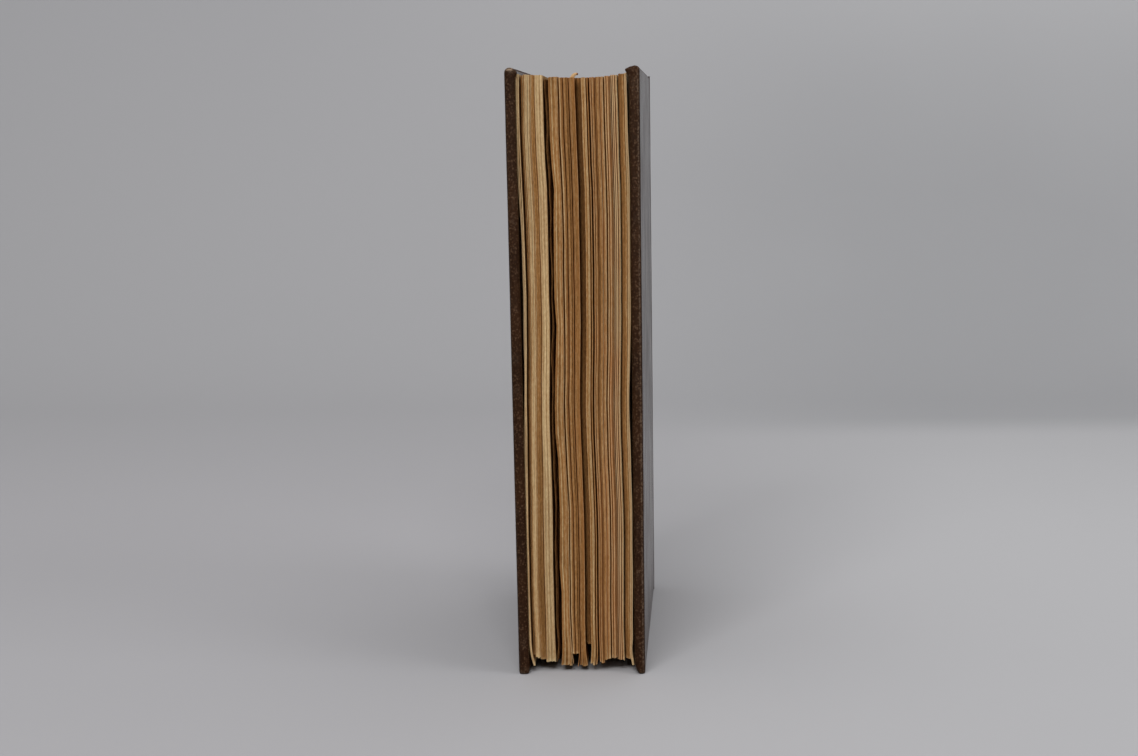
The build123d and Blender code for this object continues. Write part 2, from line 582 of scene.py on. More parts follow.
@dataclass(frozen=True)
class LeatherFinish:
    """Dark brown pebbled leather with painted highlights on some pebble crests, handled smooth on its flats
    and rubbed pale where it is worn; on the covers the painted wear also holds painted highlights.
    """

    name: str = "dark_leather"
    deep: Colour = (0.0165, 0.0058, 0.0017)
    brown: Colour = (0.035, 0.0130, 0.0040)
    # the painted highlight on pebble crests
    crest: Colour = (0.112, 0.064, 0.037)
    # the pale of worn leather, also the colour of painted highlights on the covers
    rubbed: Colour = (0.30, 0.215, 0.150)
    pebble: float = 0.9
    pebble_edge: Pair = (0.15, 0.6)
    pebble_softness: float = 0.5
    patch: Cloud = Cloud(22.0, 3.0, edge=(0.35, 0.68))
    fleck: Cloud = Cloud(1.1, edge=(0.44, 0.62))
    scuff: Cloud = Cloud(0.8, 3.0, edge=(0.42, 0.6))
    pore: Cloud = Cloud(0.3)
    relief: Pair = (0.16, 0.6)  # its depth and its strength
    dull: float = 0.62
    handled: float = 0.18
    specular: float = 0.07

    def make(self) -> bpy.types.Material:
        """Puts the material together."""
        bench = Bench.material(self.name)
        grain = bench.cells(self.pebble, "SMOOTH_F1", Smoothness=self.pebble_softness)
        crest = 1.0 - grain.step(*self.pebble_edge)
        patch, fleck, scuff = (bench.cloud(kind) for kind in (self.patch, self.fleck, self.scuff))
        wear, polish = bench.painted("wear"), bench.painted("polish")
        # painted highlight on the crests of some pebbles
        crest_highlight = crest * (0.06 + fleck * (0.42 + patch * 0.16))
        colour = bench.blend(self.deep, self.brown, patch * 0.5 + crest * 0.5)
        colour = bench.blend(colour, self.crest, crest_highlight)
        # the painted wear, which on the covers also holds painted highlights and painted light
        colour = bench.blend(colour, self.rubbed, wear * (0.15 + scuff * 0.85))
        height = (crest * 0.8 + bench.cloud(self.pore) * 0.2) * (1.0 - polish * 0.7)
        return bench.surface(
            Base_Color=colour,
            Roughness=self.dull + polish * (self.handled - self.dull) + patch * 0.08 + wear * 0.15,
            Normal=bench.bump(height, *self.relief),
            Specular_IOR_Level=self.specular,
        )


@dataclass(frozen=True)
class LeafFinish:
    """Aged paper seen mostly on its cut edges, toned leaf by leaf, with painted dark red shade on the leaf
    faces further in, where they show in the cracks.
    """

    name: str = "aged_leaves"
    dark: Colour = (0.020, 0.005, 0.001)
    middle: Colour = (0.302, 0.147, 0.048)
    light: Colour = (0.590, 0.435, 0.236)
    # rust stain, also the colour of painted warm shade beside cracks and wide gaps
    rust: Colour = (0.395, 0.152, 0.052)
    # painted shade: the dark red of the leaf faces inside the cracks between leaves
    inside: Colour = (0.180, 0.062, 0.016)
    inside_shade_share: float = 0.85
    inside_shade_edge: Pair = (0.0, 0.28)
    mottle: Cloud = Cloud(0.9, 3.0, (1.6, 1.0, 0.12))
    mottle_share: float = 0.38
    fleck: Cloud = Cloud(0.6, 2.0, (1.2, 1.0, 0.4))
    fleck_share: float = 0.50
    blotch: Cloud = Cloud(14.0, 3.0, (2.0, 1.0, 0.4), (0.35, 0.65))
    grain: Cloud = Cloud(0.35, 3.0, (1.0, 1.0, 0.3))
    relief: Pair = (0.05, 0.5)  # its depth and its strength
    roughness: float = 0.85
    specular: float = 0.0

    def make(self) -> bpy.types.Material:
        """Puts the material together."""
        bench = Bench.material(self.name)
        mottle, fleck = (bench.cloud(kind) - 0.5 for kind in (self.mottle, self.fleck))
        # real rust, and painted warm shade beside cracks and wide gaps
        rust_and_warm_shade = bench.painted("rust") * (0.5 + bench.cloud(self.blotch) * 0.5)
        # painted shade on the leaf faces away from their edges, seen in the cracks
        deeper = bench.painted("margin").step(*self.inside_shade_edge)
        level = bench.painted("tone") + mottle * self.mottle_share + fleck * self.fleck_share
        colour = bench.blend(self.dark, self.middle, level * 2.0)
        colour = bench.blend(colour, self.light, level * 2.0 - 1.0)
        colour = bench.blend(colour, self.rust, rust_and_warm_shade)
        colour = bench.blend(colour, self.inside, deeper * self.inside_shade_share)
        return bench.surface(
            Base_Color=colour,
            Roughness=self.roughness + mottle * 0.1,
            Normal=bench.bump(bench.cloud(self.grain), *self.relief),
            Specular_IOR_Level=self.specular,
        )


@dataclass(frozen=True)
class PaperFinish:
    """Aged endpaper with brown margins and a few foxed spots."""

    name: str = "aged_endpaper"
    clean: Colour = (0.50, 0.39, 0.235)
    toned: Colour = (0.33, 0.215, 0.105)
    fox: Colour = (0.20, 0.10, 0.04)
    age: Cloud = Cloud(45.0, 4.0)
    age_edge: Pair = (0.35, 0.7)
    fibre: Cloud = Cloud(0.6, 3.0, (1.0, 1.0, 0.3))
    fibre_edge: Pair = (0.55, 0.8)
    fox_spacing: float = 17.0
    fox_outline: Cloud = Cloud(2.0, 3.0)
    fox_edge: Pair = (0.03, 0.12)
    relief: Pair = (0.04, 0.5)  # its depth and its strength
    roughness: float = 0.82
    specular: float = 0.25

    def make(self) -> bpy.types.Material:
        """Puts the material together."""
        bench = Bench.material(self.name)
        age, fibre = bench.cloud(self.age), bench.cloud(self.fibre)
        margin = bench.painted("margin")
        colour = bench.blend(self.toned, self.clean, margin * 0.75 + age.step(*self.age_edge) * 0.25)
        colour = bench.blend(colour, self.toned, fibre.step(*self.fibre_edge) * 0.18)
        spots = bench.cells(self.fox_spacing, "F1") + (bench.cloud(self.fox_outline) - 0.5) * 0.16
        colour = bench.blend(colour, self.fox, (1.0 - spots.step(*self.fox_edge)) * 0.45)
        return bench.surface(
            Base_Color=colour,
            Roughness=self.roughness + (age - 0.5) * 0.12,
            Normal=bench.bump(fibre, *self.relief),
            Specular_IOR_Level=self.specular,
        )


@dataclass(frozen=True)
class CardFinish:
    """Pressed grey-brown card with flecks of straw."""

    name: str
    base: Colour
    fleck: Colour
    pulp: Cloud = Cloud(3.0, 4.0)
    straw: Cloud = Cloud(0.8, 2.0, (0.4, 1.0, 1.0), (0.6, 0.75))
    relief: Pair = (0.1, 0.6)  # its depth and its strength
    roughness: float = 0.9
    specular: float = 0.2

    def make(self) -> bpy.types.Material:
        """Puts the material together."""
        bench = Bench.material(self.name)
        pulp, straw = bench.cloud(self.pulp), bench.cloud(self.straw)
        return bench.surface(
            Base_Color=bench.blend(self.base, self.fleck, pulp * 0.4 + straw * 0.5),
            Roughness=self.roughness + (pulp - 0.5) * 0.1,
            Normal=bench.bump(pulp, *self.relief),
            Specular_IOR_Level=self.specular,
        )


@dataclass(frozen=True)
class LinenFinish:
    """Plain-woven linen tape."""

    name: str = "linen_tape"
    light: Colour = (0.52, 0.44, 0.31)
    dark: Colour = (0.27, 0.21, 0.13)
    thread: float = 0.55
    wave_scale: float = 0.314  # the scale of the wave node at which a band is 1 mm wide
    wobble: float = 0.6
    slub: Cloud = Cloud(4.0, 3.0)
    relief: Pair = (0.12, 0.8)  # its depth and its strength
    roughness: float = 0.88
    specular: float = 0.2

    def make(self) -> bpy.types.Material:
        """Puts the material together."""
        bench = Bench.material(self.name)
        spot = bench.place()
        bands = []
        for direction in ("X", "Z"):
            settings = {"wave_type": "BANDS", "bands_direction": direction}
            inputs = {"Vector": spot, "Scale": self.wave_scale / self.thread, "Distortion": self.wobble}
            bands.append(bench.node("ShaderNodeTexWave", settings, inputs).out("Fac"))
        weave = bands[0] * bands[1]
        slub = bench.cloud(self.slub)
        return bench.surface(
            Base_Color=bench.blend(self.dark, self.light, weave * 0.7 + slub * 0.4),
            Roughness=self.roughness + (slub - 0.5) * 0.1,
            Normal=bench.bump(weave, *self.relief),
            Specular_IOR_Level=self.specular,
        )


@dataclass(frozen=True)
class ThreadFinish:
    """Worked thread in two faded colours, by the stripe that the mesh is painted with."""

    name: str = "band_thread"
    pale: Colour = (0.46, 0.37, 0.24)
    tan: Colour = (0.17, 0.085, 0.04)
    faded: Cloud = Cloud(5.0, 3.0)
    twist: Cloud = Cloud(0.25)
    twist_edge: Pair = (0.5, 0.75)
    relief: Pair = (0.06, 0.6)  # its depth and its strength
    roughness: float = 0.75
    specular: float = 0.3

    def make(self) -> bpy.types.Material:
        """Puts the material together."""
        bench = Bench.material(self.name)
        faded, twist = bench.cloud(self.faded), bench.cloud(self.twist)
        colour = bench.blend(self.pale, self.tan, bench.painted("stripe") * (0.75 + faded * 0.25))
        colour = bench.blend(colour, self.tan, twist.step(*self.twist_edge) * 0.25)
        return bench.surface(
            Base_Color=colour,
            Roughness=self.roughness + (faded - 0.5) * 0.15,
            Normal=bench.bump(twist, *self.relief),
            Specular_IOR_Level=self.specular,
        )


@dataclass(frozen=True)
class BackdropFinish:
    """Matt grey paper of a studio backdrop with painted light and shade: paler underfoot and to the right,
    painted darker near the front, a painted shaded band in the bend behind and a wall painted much paler to
    the right.

    The ranges over which its tones change are in metres.
    """

    name: str = "backdrop_paper"
    # Painted light and shade: the floor paler to the right and darker near the front, the bend darker,
    # crisply so on the right, the wall much paler on the right.
    floor_left: Colour = (0.375, 0.367, 0.380)
    floor_right: Colour = (0.440, 0.438, 0.448)
    near: Colour = (0.315, 0.312, 0.322)
    near_shade_share: float = 0.48
    bend_left: Colour = (0.395, 0.392, 0.402)
    bend_right: Colour = (0.352, 0.352, 0.362)
    wall_left: Colour = (0.402, 0.400, 0.416)
    wall_right: Colour = (0.680, 0.680, 0.690)
    rightward: Pair = (-0.15, 0.25)
    wall_rightward: Pair = (-0.5, 0.5)
    behind_near: Pair = (-0.25, 0.3)
    soft_bend: Pair = (0.2, 1.0)
    crisp_bend: Pair = (0.56, 0.68)
    wall_rise: Pair = (0.12, 0.8)
    cloud: Cloud = Cloud(400.0)
    roughness: float = 0.9
    specular: float = 0.15

    def make(self) -> bpy.types.Material:
        """Puts the material together."""
        bench = Bench.material(self.name)
        spot = bench.node("ShaderNodeTexCoord").out("Object")
        across = bench.node("ShaderNodeSeparateXYZ", None, {0: spot}).out("X")
        depth, height = across.out("Y"), across.out("Z")
        cloudy = bench.cloud(self.cloud) - 0.5
        # painted light and shade, laid on by place
        right = across.step(*self.rightward)
        colour = bench.blend(self.floor_left, self.floor_right, right)
        at_front = self.near_shade_share - depth.step(*self.behind_near) * self.near_shade_share
        colour = bench.blend(colour, self.near, at_front)
        soft, crisp = depth.step(*self.soft_bend), depth.step(*self.crisp_bend)
        bend = bench.blend(self.bend_left, self.bend_right, right)
        colour = bench.blend(colour, bend, soft + (crisp - soft) * right)
        wall = bench.blend(self.wall_left, self.wall_right, across.step(*self.wall_rightward))
        colour = bench.blend(colour, wall, height.step(*self.wall_rise) + cloudy * 0.2)
        return bench.surface(
            Base_Color=colour,
            Roughness=self.roughness + cloudy * 0.05,
            Specular_IOR_Level=self.specular,
        )


class Finishes:
    """Every material of the book, made once."""

    def __init__(self) -> None:
        """Makes the materials."""
        self.leather = LeatherFinish().make()
        self.leaves = LeafFinish().make()
        self.endpaper = PaperFinish().make()
        self.board = CardFinish("pressed_board", (0.25, 0.18, 0.105), (0.37, 0.29, 0.18)).make()
        self.card = CardFinish("thin_card", (0.30, 0.22, 0.13), (0.42, 0.33, 0.21)).make()
        self.lining = CardFinish("glued_lining", (0.38, 0.28, 0.16), (0.28, 0.17, 0.08)).make()
        self.linen = LinenFinish().make()
        self.thread = ThreadFinish().make()


# Sub-assemblies


@dataclass
class Cover:
    """One cover: leather wrapped round a board and turned in, with a pastedown in the frame of turn-ins."""

    side: Side
    finishes: Finishes
    fold: float  # how far the leather's fold bulges at the head
    tuck: float  # how far the inner corner is worn away at the tail
    arris_rub: float  # how much its outer fore-edge corner is painted pale: rubbed, and a painted highlight along the arris
    seed: float
    edge_round: float = 1.95
    edge_cuts: int = 6
    tail_round: float = 0.16  # how much of the rounding is left where the book stands
    tail_corner: float = 0.9  # how far the faces turn in there
    head_rub_and_highlight: float = 0.9  # how much its corners are painted pale at the head: rubbed, and a painted highlight on the domes
    tail_rub: float = 0.25  # how much they are rubbed at the tail
    rim_rub: float = 0.06
    # speckled rubbing up the fore-edge face, with painted light that grows towards the head
    fore_rub_and_light: float = 0.02
    wave: float = 0.05  # how far the leather waves on its flats
    rim_wave: float = 0.10  # how far it waves on its edges
    rim_width: float = 2.0
    pleat_depth: float = 0.15
    skin_thickness: float = 0.38
    cell: float = 3.2
    turn_in_cuts: tuple[float, ...] = (2.6, 3.6, 5.2, SIZES.turn_in)
    paper_thickness: float = 0.3
    paper_clearance: float = 0.15
    paper_sunk: float = 0.05
    paper_wave: float = 0.03
    joint_reach: float = 3.4  # how far the leather of the joint spans to each side
    joint_bend: float = 0.9  # how far to each side it bends
    joint_thickness: float = 0.3
    joint_inset: float = 0.25  # how far it ends from the tail and the head
    joint_wave: float = 0.03
    joint_step: float = 0.22  # the share of it, to each side, over which it steps in to the spine
    groove_depth: float = 0.3
    groove_width: float = 0.16
    board_rim: float = 0.8
    board_inner: float = 0.5
    board_round: float = 1.35

    def stations(
        self, length: float, radius: float, high_round: bool = True, marks: Sequence[float] = ()
    ) -> np.ndarray:
        """Where a box side is cut into cells: close together round its edges, even between them.

        Args:
            length: the side's length.
            radius: how far its edges are rounded.
            high_round: whether the high end is rounded too.
            marks: places that must have a cut.

        Returns:
            Distances from the low end, in order.
        """
        low = radius * (1.0 - np.cos(np.linspace(0.0, math.pi / 2, self.edge_cuts)))
        high = length - low[::-1] if high_round else np.array([length])
        count = max(2, int(round((high[0] - low[-1]) / self.cell)))
        even = np.linspace(low[-1], high[0], count + 1)[1:-1]
        marks = [mark for mark in marks if low[-1] < mark < high[0]]
        even = [place for place in even if all(abs(place - mark) > self.cell / 3 for mark in marks)]
        return np.sort(np.concatenate([low, even, high, marks]))

    def rounded(self, box_points: np.ndarray, size: np.ndarray, radius: float) -> np.ndarray:
        """Rounds the edges of a box, apart from those at its open spine end.

        Args:
            box_points: points on the box, from zero to its size along each axis.
            size: the box's size.
            radius: how far its edges are rounded.

        Returns:
            The points on the rounded box.
        """
        low = np.full(3, radius)
        high = size - radius
        high[1] = size[1] + radius
        core = np.clip(box_points, low, high)
        away = box_points - core
        away[..., 1] = np.minimum(away[..., 1], 0.0)
        length = np.linalg.norm(away, axis=-1, keepdims=True)
        core[..., 1] = np.where(box_points[..., 1] > low[1], box_points[..., 1], core[..., 1])
        return core + away / np.maximum(length, TINY) * radius

    def stood(self, points: np.ndarray, size: np.ndarray) -> np.ndarray:
        """Flattens the rounding at the tail, where the cover stands.

        Args:
            points: points on the rounded box.
            size: the box's size.

        Returns:
            The points, moved.
        """
        x, y, z = np.moveaxis(points, -1, 0)
        middle = size[0] / 2
        rise = np.clip(z / self.edge_round, 0.0, 1.0)
        filled = np.sqrt(np.clip(rise * (2.0 - rise), 0.0, 1.0))
        narrow = middle - self.edge_round * (1.0 - filled)
        wide = middle - self.tail_corner * (1.0 - filled)
        lower = z - (1.0 - self.tail_round) * z * (1.0 - rise) ** 2
        return points_at(middle + (x - middle) * wide / narrow, y, lower)

    def distances(self, points: np.ndarray) -> tuple[np.ndarray, np.ndarray, np.ndarray, np.ndarray]:
        """How far points are from the fore-edge, the head and the tail, and from the nearest of these."""
        to_fore, to_tail = points[..., 1], points[..., 2]
        to_head = SIZES.height - to_tail
        return to_fore, to_head, to_tail, np.minimum(np.minimum(to_fore, to_head), to_tail)

    def rubbed(self, points: np.ndarray, rough: np.ndarray) -> np.ndarray:
        """How pale the leather is painted: worn at its corners and along its rim, with painted highlights on
        the head corners and the outer arris and painted light up its fore-edge towards the head.

        Args:
            points: points on the cover's box.
            rough: noise at each point, which breaks the wear up.

        Returns:
            The wear and painted highlight at each point, from 0 to 1.
        """
        to_fore, to_head, to_tail, to_rim = self.distances(points)
        along_fore, along_end, arris_inset = 1.6, 6.0, 0.75
        from_arris = points[..., 0] - SIZES.cover_thickness + arris_inset
        # painted highlights on the head corners, where the domes catch the light, and on the outer arris, as
        # well as rubbing; painted light up the fore-edge towards the head
        at_corners = self.head_rub_and_highlight * bell(to_head, along_fore) + self.tail_rub * bell(to_tail, along_fore)
        wear = at_corners * bell(to_fore, along_end) * ease(rough, -0.3, 0.3)
        wear += self.rim_rub * fade(to_rim, 0.2, 2.0) * ease(rough, 0.2, 0.6)
        wear += self.fore_rub_and_light * fade(to_fore, 0.5, 2.0) * ease(to_tail, 90.0, 220.0)
        wear += self.arris_rub * bell(from_arris, 0.05) * fade(to_fore, 0.2, 1.2)
        return np.clip(wear, 0.0, 1.0)

    def crumpled(self, points: np.ndarray, rough: np.ndarray) -> np.ndarray:
        """How far the leather's waves, its fold at the head and its pleats move it.

        Args:
            points: points on the cover's box.
            rough: the waves on its edges.

        Returns:
            The move of each point.
        """
        x = points[..., 0]
        to_fore, to_head, to_tail, to_rim = self.distances(points)
        to_end = np.minimum(to_head, to_tail)
        inner = fade(x, 0.5, 2.2)
        lobe = self.fold * inner * bell(to_fore - 1.6, 4.0) * bell(to_head - 2.3, 1.7)
        crease = self.fold * bell(x - 1.3, 0.15) * bell(to_fore, 6.0) * bell(to_head, 1.5)
        stubbed = self.tuck * inner * bell(to_tail, 5.0) * bell(to_fore, 60.0)
        pleat = self.pleat_depth * bell(to_fore - to_end, 0.5) * (x < 0.2) * (to_rim < SIZES.turn_in)
        waves = self.wave * ripple(points, 28.0, self.seed + 7.0)
        at_ends = self.rim_wave * rough * (to_end < self.rim_width) * np.sign(to_tail - SIZES.height / 2)
        at_fore = self.rim_wave * rough * (to_fore < self.rim_width)
        return points_at(
            waves - lobe - pleat + stubbed, at_fore - 0.2 * lobe, at_ends + 0.4 * lobe - 0.5 * crease
        )

    def leather_points(
        self, box_points: np.ndarray, size: np.ndarray
    ) -> tuple[np.ndarray, np.ndarray, np.ndarray]:
        """Shapes the leather and says where it is worn and painted with highlights, and where it is smooth.

        Args:
            box_points: points on the cover's box, whose zero is its inner face, fore-edge and tail.
            size: the box's size.

        Returns:
            Points in the cover's own frame, and the wear with painted highlights and the polish at each.
        """
        points = self.stood(self.rounded(box_points, size, self.edge_round), size)
        rough = ripple(points, 4.0, self.seed)
        origin = np.array([-size[0], SIZES.fore_edge, 0.0])
        local = points + self.crumpled(points, rough) + origin
        to_fore, to_head, to_tail, _ = self.distances(points)
        x, middle = points[..., 0], size[0] / 2
        flat = ease(np.abs(x - middle), middle - 0.5, middle - 0.05)
        head_reach = np.where(x < middle, 0.5, 1.5)
        smooth = ease(np.minimum(to_fore, to_tail), 0.0, 1.5) * ease(to_head / head_reach, 0.0, 1.0)
        return local, self.rubbed(points, rough), flat * smooth

    def leather(self) -> bpy.types.Object:
        """Builds the leather of the cover.

        Returns:
            The piece that stands for the leather's solid.
        """
        size = np.array([SIZES.cover_thickness, SIZES.cover_width - SIZES.joint_gap / 2, SIZES.height])
        from_head = [size[2] - mark for mark in self.turn_in_cuts]
        xs = self.stations(size[0], self.edge_round)
        ys = self.stations(size[1], self.edge_round, False, self.turn_in_cuts)
        zs = self.stations(size[2], self.edge_round, True, [*self.turn_in_cuts, *from_head])
        skin = Skin()
        for x in (0.0, size[0]):
            grid = points_at(x, ys[:, None], zs[None, :])
            self.add_face(skin, grid, size, flip=x > 0.0, window=x == 0.0)
        for z in (0.0, size[2]):
            self.add_face(skin, points_at(xs[:, None], ys[None, :], z), size, flip=z > 0.0)
        self.add_face(skin, points_at(xs[:, None], 0.0, zs[None, :]), size, flip=True)
        shell = thicken(weld(skin), self.skin_thickness)
        made = shell.piece(f"{self.side.word}_cover_skin", self.finishes.leather, "leather")
        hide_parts(f"{self.side.word}_cover_leather")
        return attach(made, self.side.body)

    def add_face(
        self, skin: Skin, grid: np.ndarray, size: np.ndarray, flip: bool, window: bool = False
    ) -> None:
        """Adds one side of the cover's box, shaped and leaned, to its skin.

        Args:
            skin: what the side is added to.
            grid: the side's points on the plain box.
            size: the box's size.
            flip: turns the side's faces over.
            window: leaves out the faces inside the frame of turn-ins.
        """
        local, wear, polish = self.leather_points(grid, size)
        index = skin.add(SIZES.leaned(local, self.side), wear=wear, polish=polish)
        flip = flip == (self.side is Side.FRONT)
        if not window:
            skin.quads(index, flip=flip)
            return
        middle = (grid[:-1, :-1] + grid[1:, 1:]) / 2
        within_height = np.abs(middle[..., 2] - size[2] / 2) < size[2] / 2 - SIZES.turn_in
        inside = (middle[..., 1] > SIZES.turn_in) & within_height
        for row, column in zip(*np.nonzero(~inside)):
            skin.quads(index[row:row + 2, column:column + 2], flip=flip)

    def pastedown(self) -> bpy.types.Object:
        """Builds the endpaper pasted inside the cover.

        Returns:
            The piece that stands for the pastedown's solid.
        """
        columns, rows, toned_margin = 40, 60, 12.0
        inset = SIZES.turn_in + self.paper_clearance
        ys = np.linspace(SIZES.fore_edge + inset, SIZES.joint_y - SIZES.joint_gap, columns)
        zs = np.linspace(inset, SIZES.height - inset, rows)
        y, z = np.meshgrid(ys, zs, indexing="ij")
        to_rim = np.minimum(np.minimum(y - ys[0], z - zs[0]), zs[-1] - z)
        wave = self.paper_wave * ripple(points_at(0.0, y, z), 18.0, self.seed + 2.0)
        x = self.paper_sunk - SIZES.cover_thickness + wave
        pair = [SIZES.leaned(points_at(x + off, y, z), self.side) for off in (self.paper_thickness, 0.0)]
        if self.side is Side.FRONT:
            pair.reverse()
        skin = Skin()
        skin.sheet(*pair, margin=ease(to_rim, 0.0, toned_margin))
        made = skin.piece(f"{self.side.word}_pastedown_sheet", self.finishes.endpaper, "endpaper")
        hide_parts(f"{self.side.word}_pastedown")
        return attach(made, self.side.body)

    def joint(self) -> bpy.types.Object:
        """Builds the strip of leather beside the spine, between the cover and the book block.

        Returns:
            The piece, at rest between the cover and the book block, attached to no body.
        """
        columns, rows = 25, 60
        rim_proud, middle_proud = 0.02, 0.10
        rub, rub_place, rub_width = 0.25, 0.3, 0.12
        across = np.linspace(-1.0, 1.0, columns)
        up = np.linspace(self.joint_inset, SIZES.height - self.joint_inset, rows)
        share, z = np.meshgrid(across, up, indexing="ij")
        out = self.side.value
        on_cover = SIZES.cover_outer + z * math.sin(SIZES.splay)
        groove = self.groove_depth * bell(share, self.groove_width**2)
        proud = middle_proud * (1.0 - np.abs(share) ** 4) + rim_proud
        over_cover = fade(share, -self.joint_step, self.joint_step)
        x = SIZES.spine_half + (on_cover - SIZES.spine_half) * over_cover + proud - groove
        outer = points_at(out * x, SIZES.joint_y + self.joint_reach * share, z)
        outer[..., 0] += out * self.joint_wave * ripple(outer, 9.0, self.seed + 11.0)
        inner = outer - np.array([out * self.joint_thickness, 0.0, 0.0])
        patchy = ease(ripple(outer, 12.0, self.seed), -0.2, 0.5)
        rubbed = rub * bell(np.abs(share) - rub_place, rub_width**2) * patchy
        skin = Skin()
        pair = (outer, inner) if self.side is Side.FRONT else (inner, outer)
        skin.sheet(*pair, wear=rubbed, polish=0.5)
        made = skin.piece(f"{self.side.word}_leather_joint", self.finishes.leather, "leather")
        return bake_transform(made)

    def board(self) -> bpy.types.Object:
        """Builds the pressed board inside the leather, with its edges rubbed round.

        Returns:
            The piece that stands for the board's solid.
        """
        rim, radius = self.board_rim, self.board_round
        thickness = SIZES.cover_thickness - rim - self.board_inner
        width = SIZES.cover_width - rim - SIZES.joint_gap / 2
        size = np.array([thickness, width, SIZES.height - 2 * rim])
        xs, zs = self.stations(size[0], radius), self.stations(size[2], radius)
        ys = self.stations(size[1], radius, False)
        origin = np.array([self.board_inner - SIZES.cover_thickness, SIZES.fore_edge + rim, rim])
        skin = Skin()
        for axis, cuts in ((0, (ys, zs)), (1, (zs, xs)), (2, (xs, ys))):
            for end in (0.0, size[axis]):
                first, second = np.meshgrid(*cuts, indexing="ij")
                grid = np.empty((*first.shape, 3))
                grid[..., axis], grid[..., (axis + 1) % 3], grid[..., (axis + 2) % 3] = end, first, second
                index = skin.add(SIZES.leaned(self.rounded(grid, size, radius) + origin, self.side))
                skin.quads(index, flip=(end > 0.0) == (self.side is Side.BACK))
        made = weld(skin).piece(f"{self.side.word}_pressed_board", self.finishes.board, "board")
        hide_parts(f"{self.side.word}_board")
        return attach(made, self.side.body)

    def build(self) -> None:
        """Builds the cover's pieces."""
        self.leather()
        self.board()
        self.pastedown()
        self.joint()


# How far the leaves of each half of the book sway towards the back cover, every 20 mm from the tail up
SWAY_HEIGHTS = np.linspace(10.0, 230.0, 12)
FRONT_SWAY = (0.0, -0.4, -0.45, -0.3, -0.1, 0.1, 0.5, 0.65, 0.5, 0.1, -0.6, -0.6)
BACK_SWAY = (0.0, 0.0, 0.15, 0.15, -0.35, -0.62, 0.08, 0.25, 0.32, 0.42, -0.08, -0.42)

# How late towards the fore-edge a leaf's corners sag, its place fans out and its tail turns
SAG_POWER = 1.6
FAN_POWER = 1.2
TURN_POWER = 4.0

# The height and the length of the waves in which a seam wanders, and how their phase shifts with its X
WANDER = ((0.07, 9.0, 2.3), (0.05, 4.3, 5.1))

# How a bundle keeps clear of the covers and of the seams on its two sides
COVER_CLEARANCE = 0.35
SEAM_CLEARANCE = 0.02
FRONT_SEAM_SHARE = 0.44
BACK_SEAM_SHARE = 0.04


def upward(z: np.ndarray) -> np.ndarray:
    """How far up the fore-edge heights are: -1 near the tail, 0 half way and 1 near the head."""
    half_way, half_span = 120.0, 110.0
    return (z - half_way) / half_span


def bow(z: np.ndarray, tail: float) -> np.ndarray:
    """Where a leaf bows above its turned tail, from 0 to 1."""
    height, width = 6.0, 3.5
    return bell(z - tail - height, width**2)


def turned(above: np.ndarray, reach: float, free: np.ndarray) -> np.ndarray:
    """How far a leaf's tail is turned.

    Args:
        above: how far above its lower edge each point is.
        reach: how far up the turned part goes.
        free: how far out from the glued back each column of points is, from 0 to 1.

    Returns:
        The share of its turn at each point.
    """
    return np.clip(1.0 - above / reach, 0.0, 1.0) ** 2 * free**TURN_POWER


def leaf_heights(
    free: np.ndarray, up: np.ndarray, corners: Pair
) -> tuple[np.ndarray, np.ndarray, np.ndarray]:
    """The heights of a leaf's points, from its square back to its sagging fore-edge.

    Args:
        free: how far out from the glued back each column of points is, from 0 to 1.
        up: how far up the leaf each row is, from 0 to 1.
        corners: the heights of its lower and upper fore-edge corners.

    Returns:
        The height of each point, and of the leaf's lower and upper edge at each column.
    """
    low = SIZES.square + (corners[0] - SIZES.square) * free**SAG_POWER
    high = SIZES.head + (corners[1] - SIZES.head) * free**SAG_POWER
    return low + (high - low) * up[:, None], low, high


@dataclass(frozen=True)
class SeamLine:
    """The course of a line between two bundles down the fore-edge."""

    across: float  # its X
    opening: float  # 0 where the bundles only differ in tone, 1 at a dark crack
    lean: float = 0.0  # how far it leans towards the back cover at the head
    front_share: float = 0.0  # how much it follows the front leaves' sway
    wander: float = 1.0  # how unsteady it is


class Seam(Enum):
    """The lines between the bundles, from the front cover to the back cover."""

    FRONT_END_OUT = SeamLine(-21.25, 0.3, front_share=1.4)
    FRONT_END_IN = SeamLine(-20.2, 1.0, front_share=0.9)
    FIRST = SeamLine(-18.9, 0.2, front_share=1.0)
    FIRST_DARK = SeamLine(-16.3, 0.1, lean=0.6, front_share=0.9)
    SECOND = SeamLine(-14.45, 0.4, front_share=0.8)
    TEAR_FRONT = SeamLine(-11.0, 0.2, lean=-0.15, front_share=0.4)
    TEAR_BACK = SeamLine(-8.5, 0.1, lean=-0.45, wander=4.0)
    THIRD = SeamLine(-5.1, 0.85, lean=-0.5, wander=1.5)
    FOURTH = SeamLine(-1.5, 0.1, lean=-0.3)
    HOLLOW_FRONT = SeamLine(1.3, 0.2, lean=-0.1)
    HOLLOW_BACK = SeamLine(3.6, 0.2)
    FIFTH = SeamLine(6.35, 1.2)
    MIDDLE_FIFTH = SeamLine(9.1, 0.3, lean=0.15)
    SIXTH = SeamLine(11.85, 0.8, lean=0.35)
    SEVENTH = SeamLine(14.4, 0.45, lean=0.35)
    EIGHTH = SeamLine(17.35, 0.7, lean=0.45)
    BACK_END_IN = SeamLine(19.75, 0.3, lean=0.55)
    BACK_END_OUT = SeamLine(20.8, 0.3, lean=0.55)

    def at(self, z: np.ndarray) -> np.ndarray:
        """The seam's X at each height."""
        line = self.value
        front = smooth_line(z, SWAY_HEIGHTS, FRONT_SWAY)
        back = smooth_line(z, SWAY_HEIGHTS, BACK_SWAY)
        sway = line.front_share * front + (1.0 - line.front_share) * back
        wander = sum(high * np.sin(z / length + line.across * shift) for high, length, shift in WANDER)
        return line.across + sway + line.lean * upward(z) + line.wander * wander


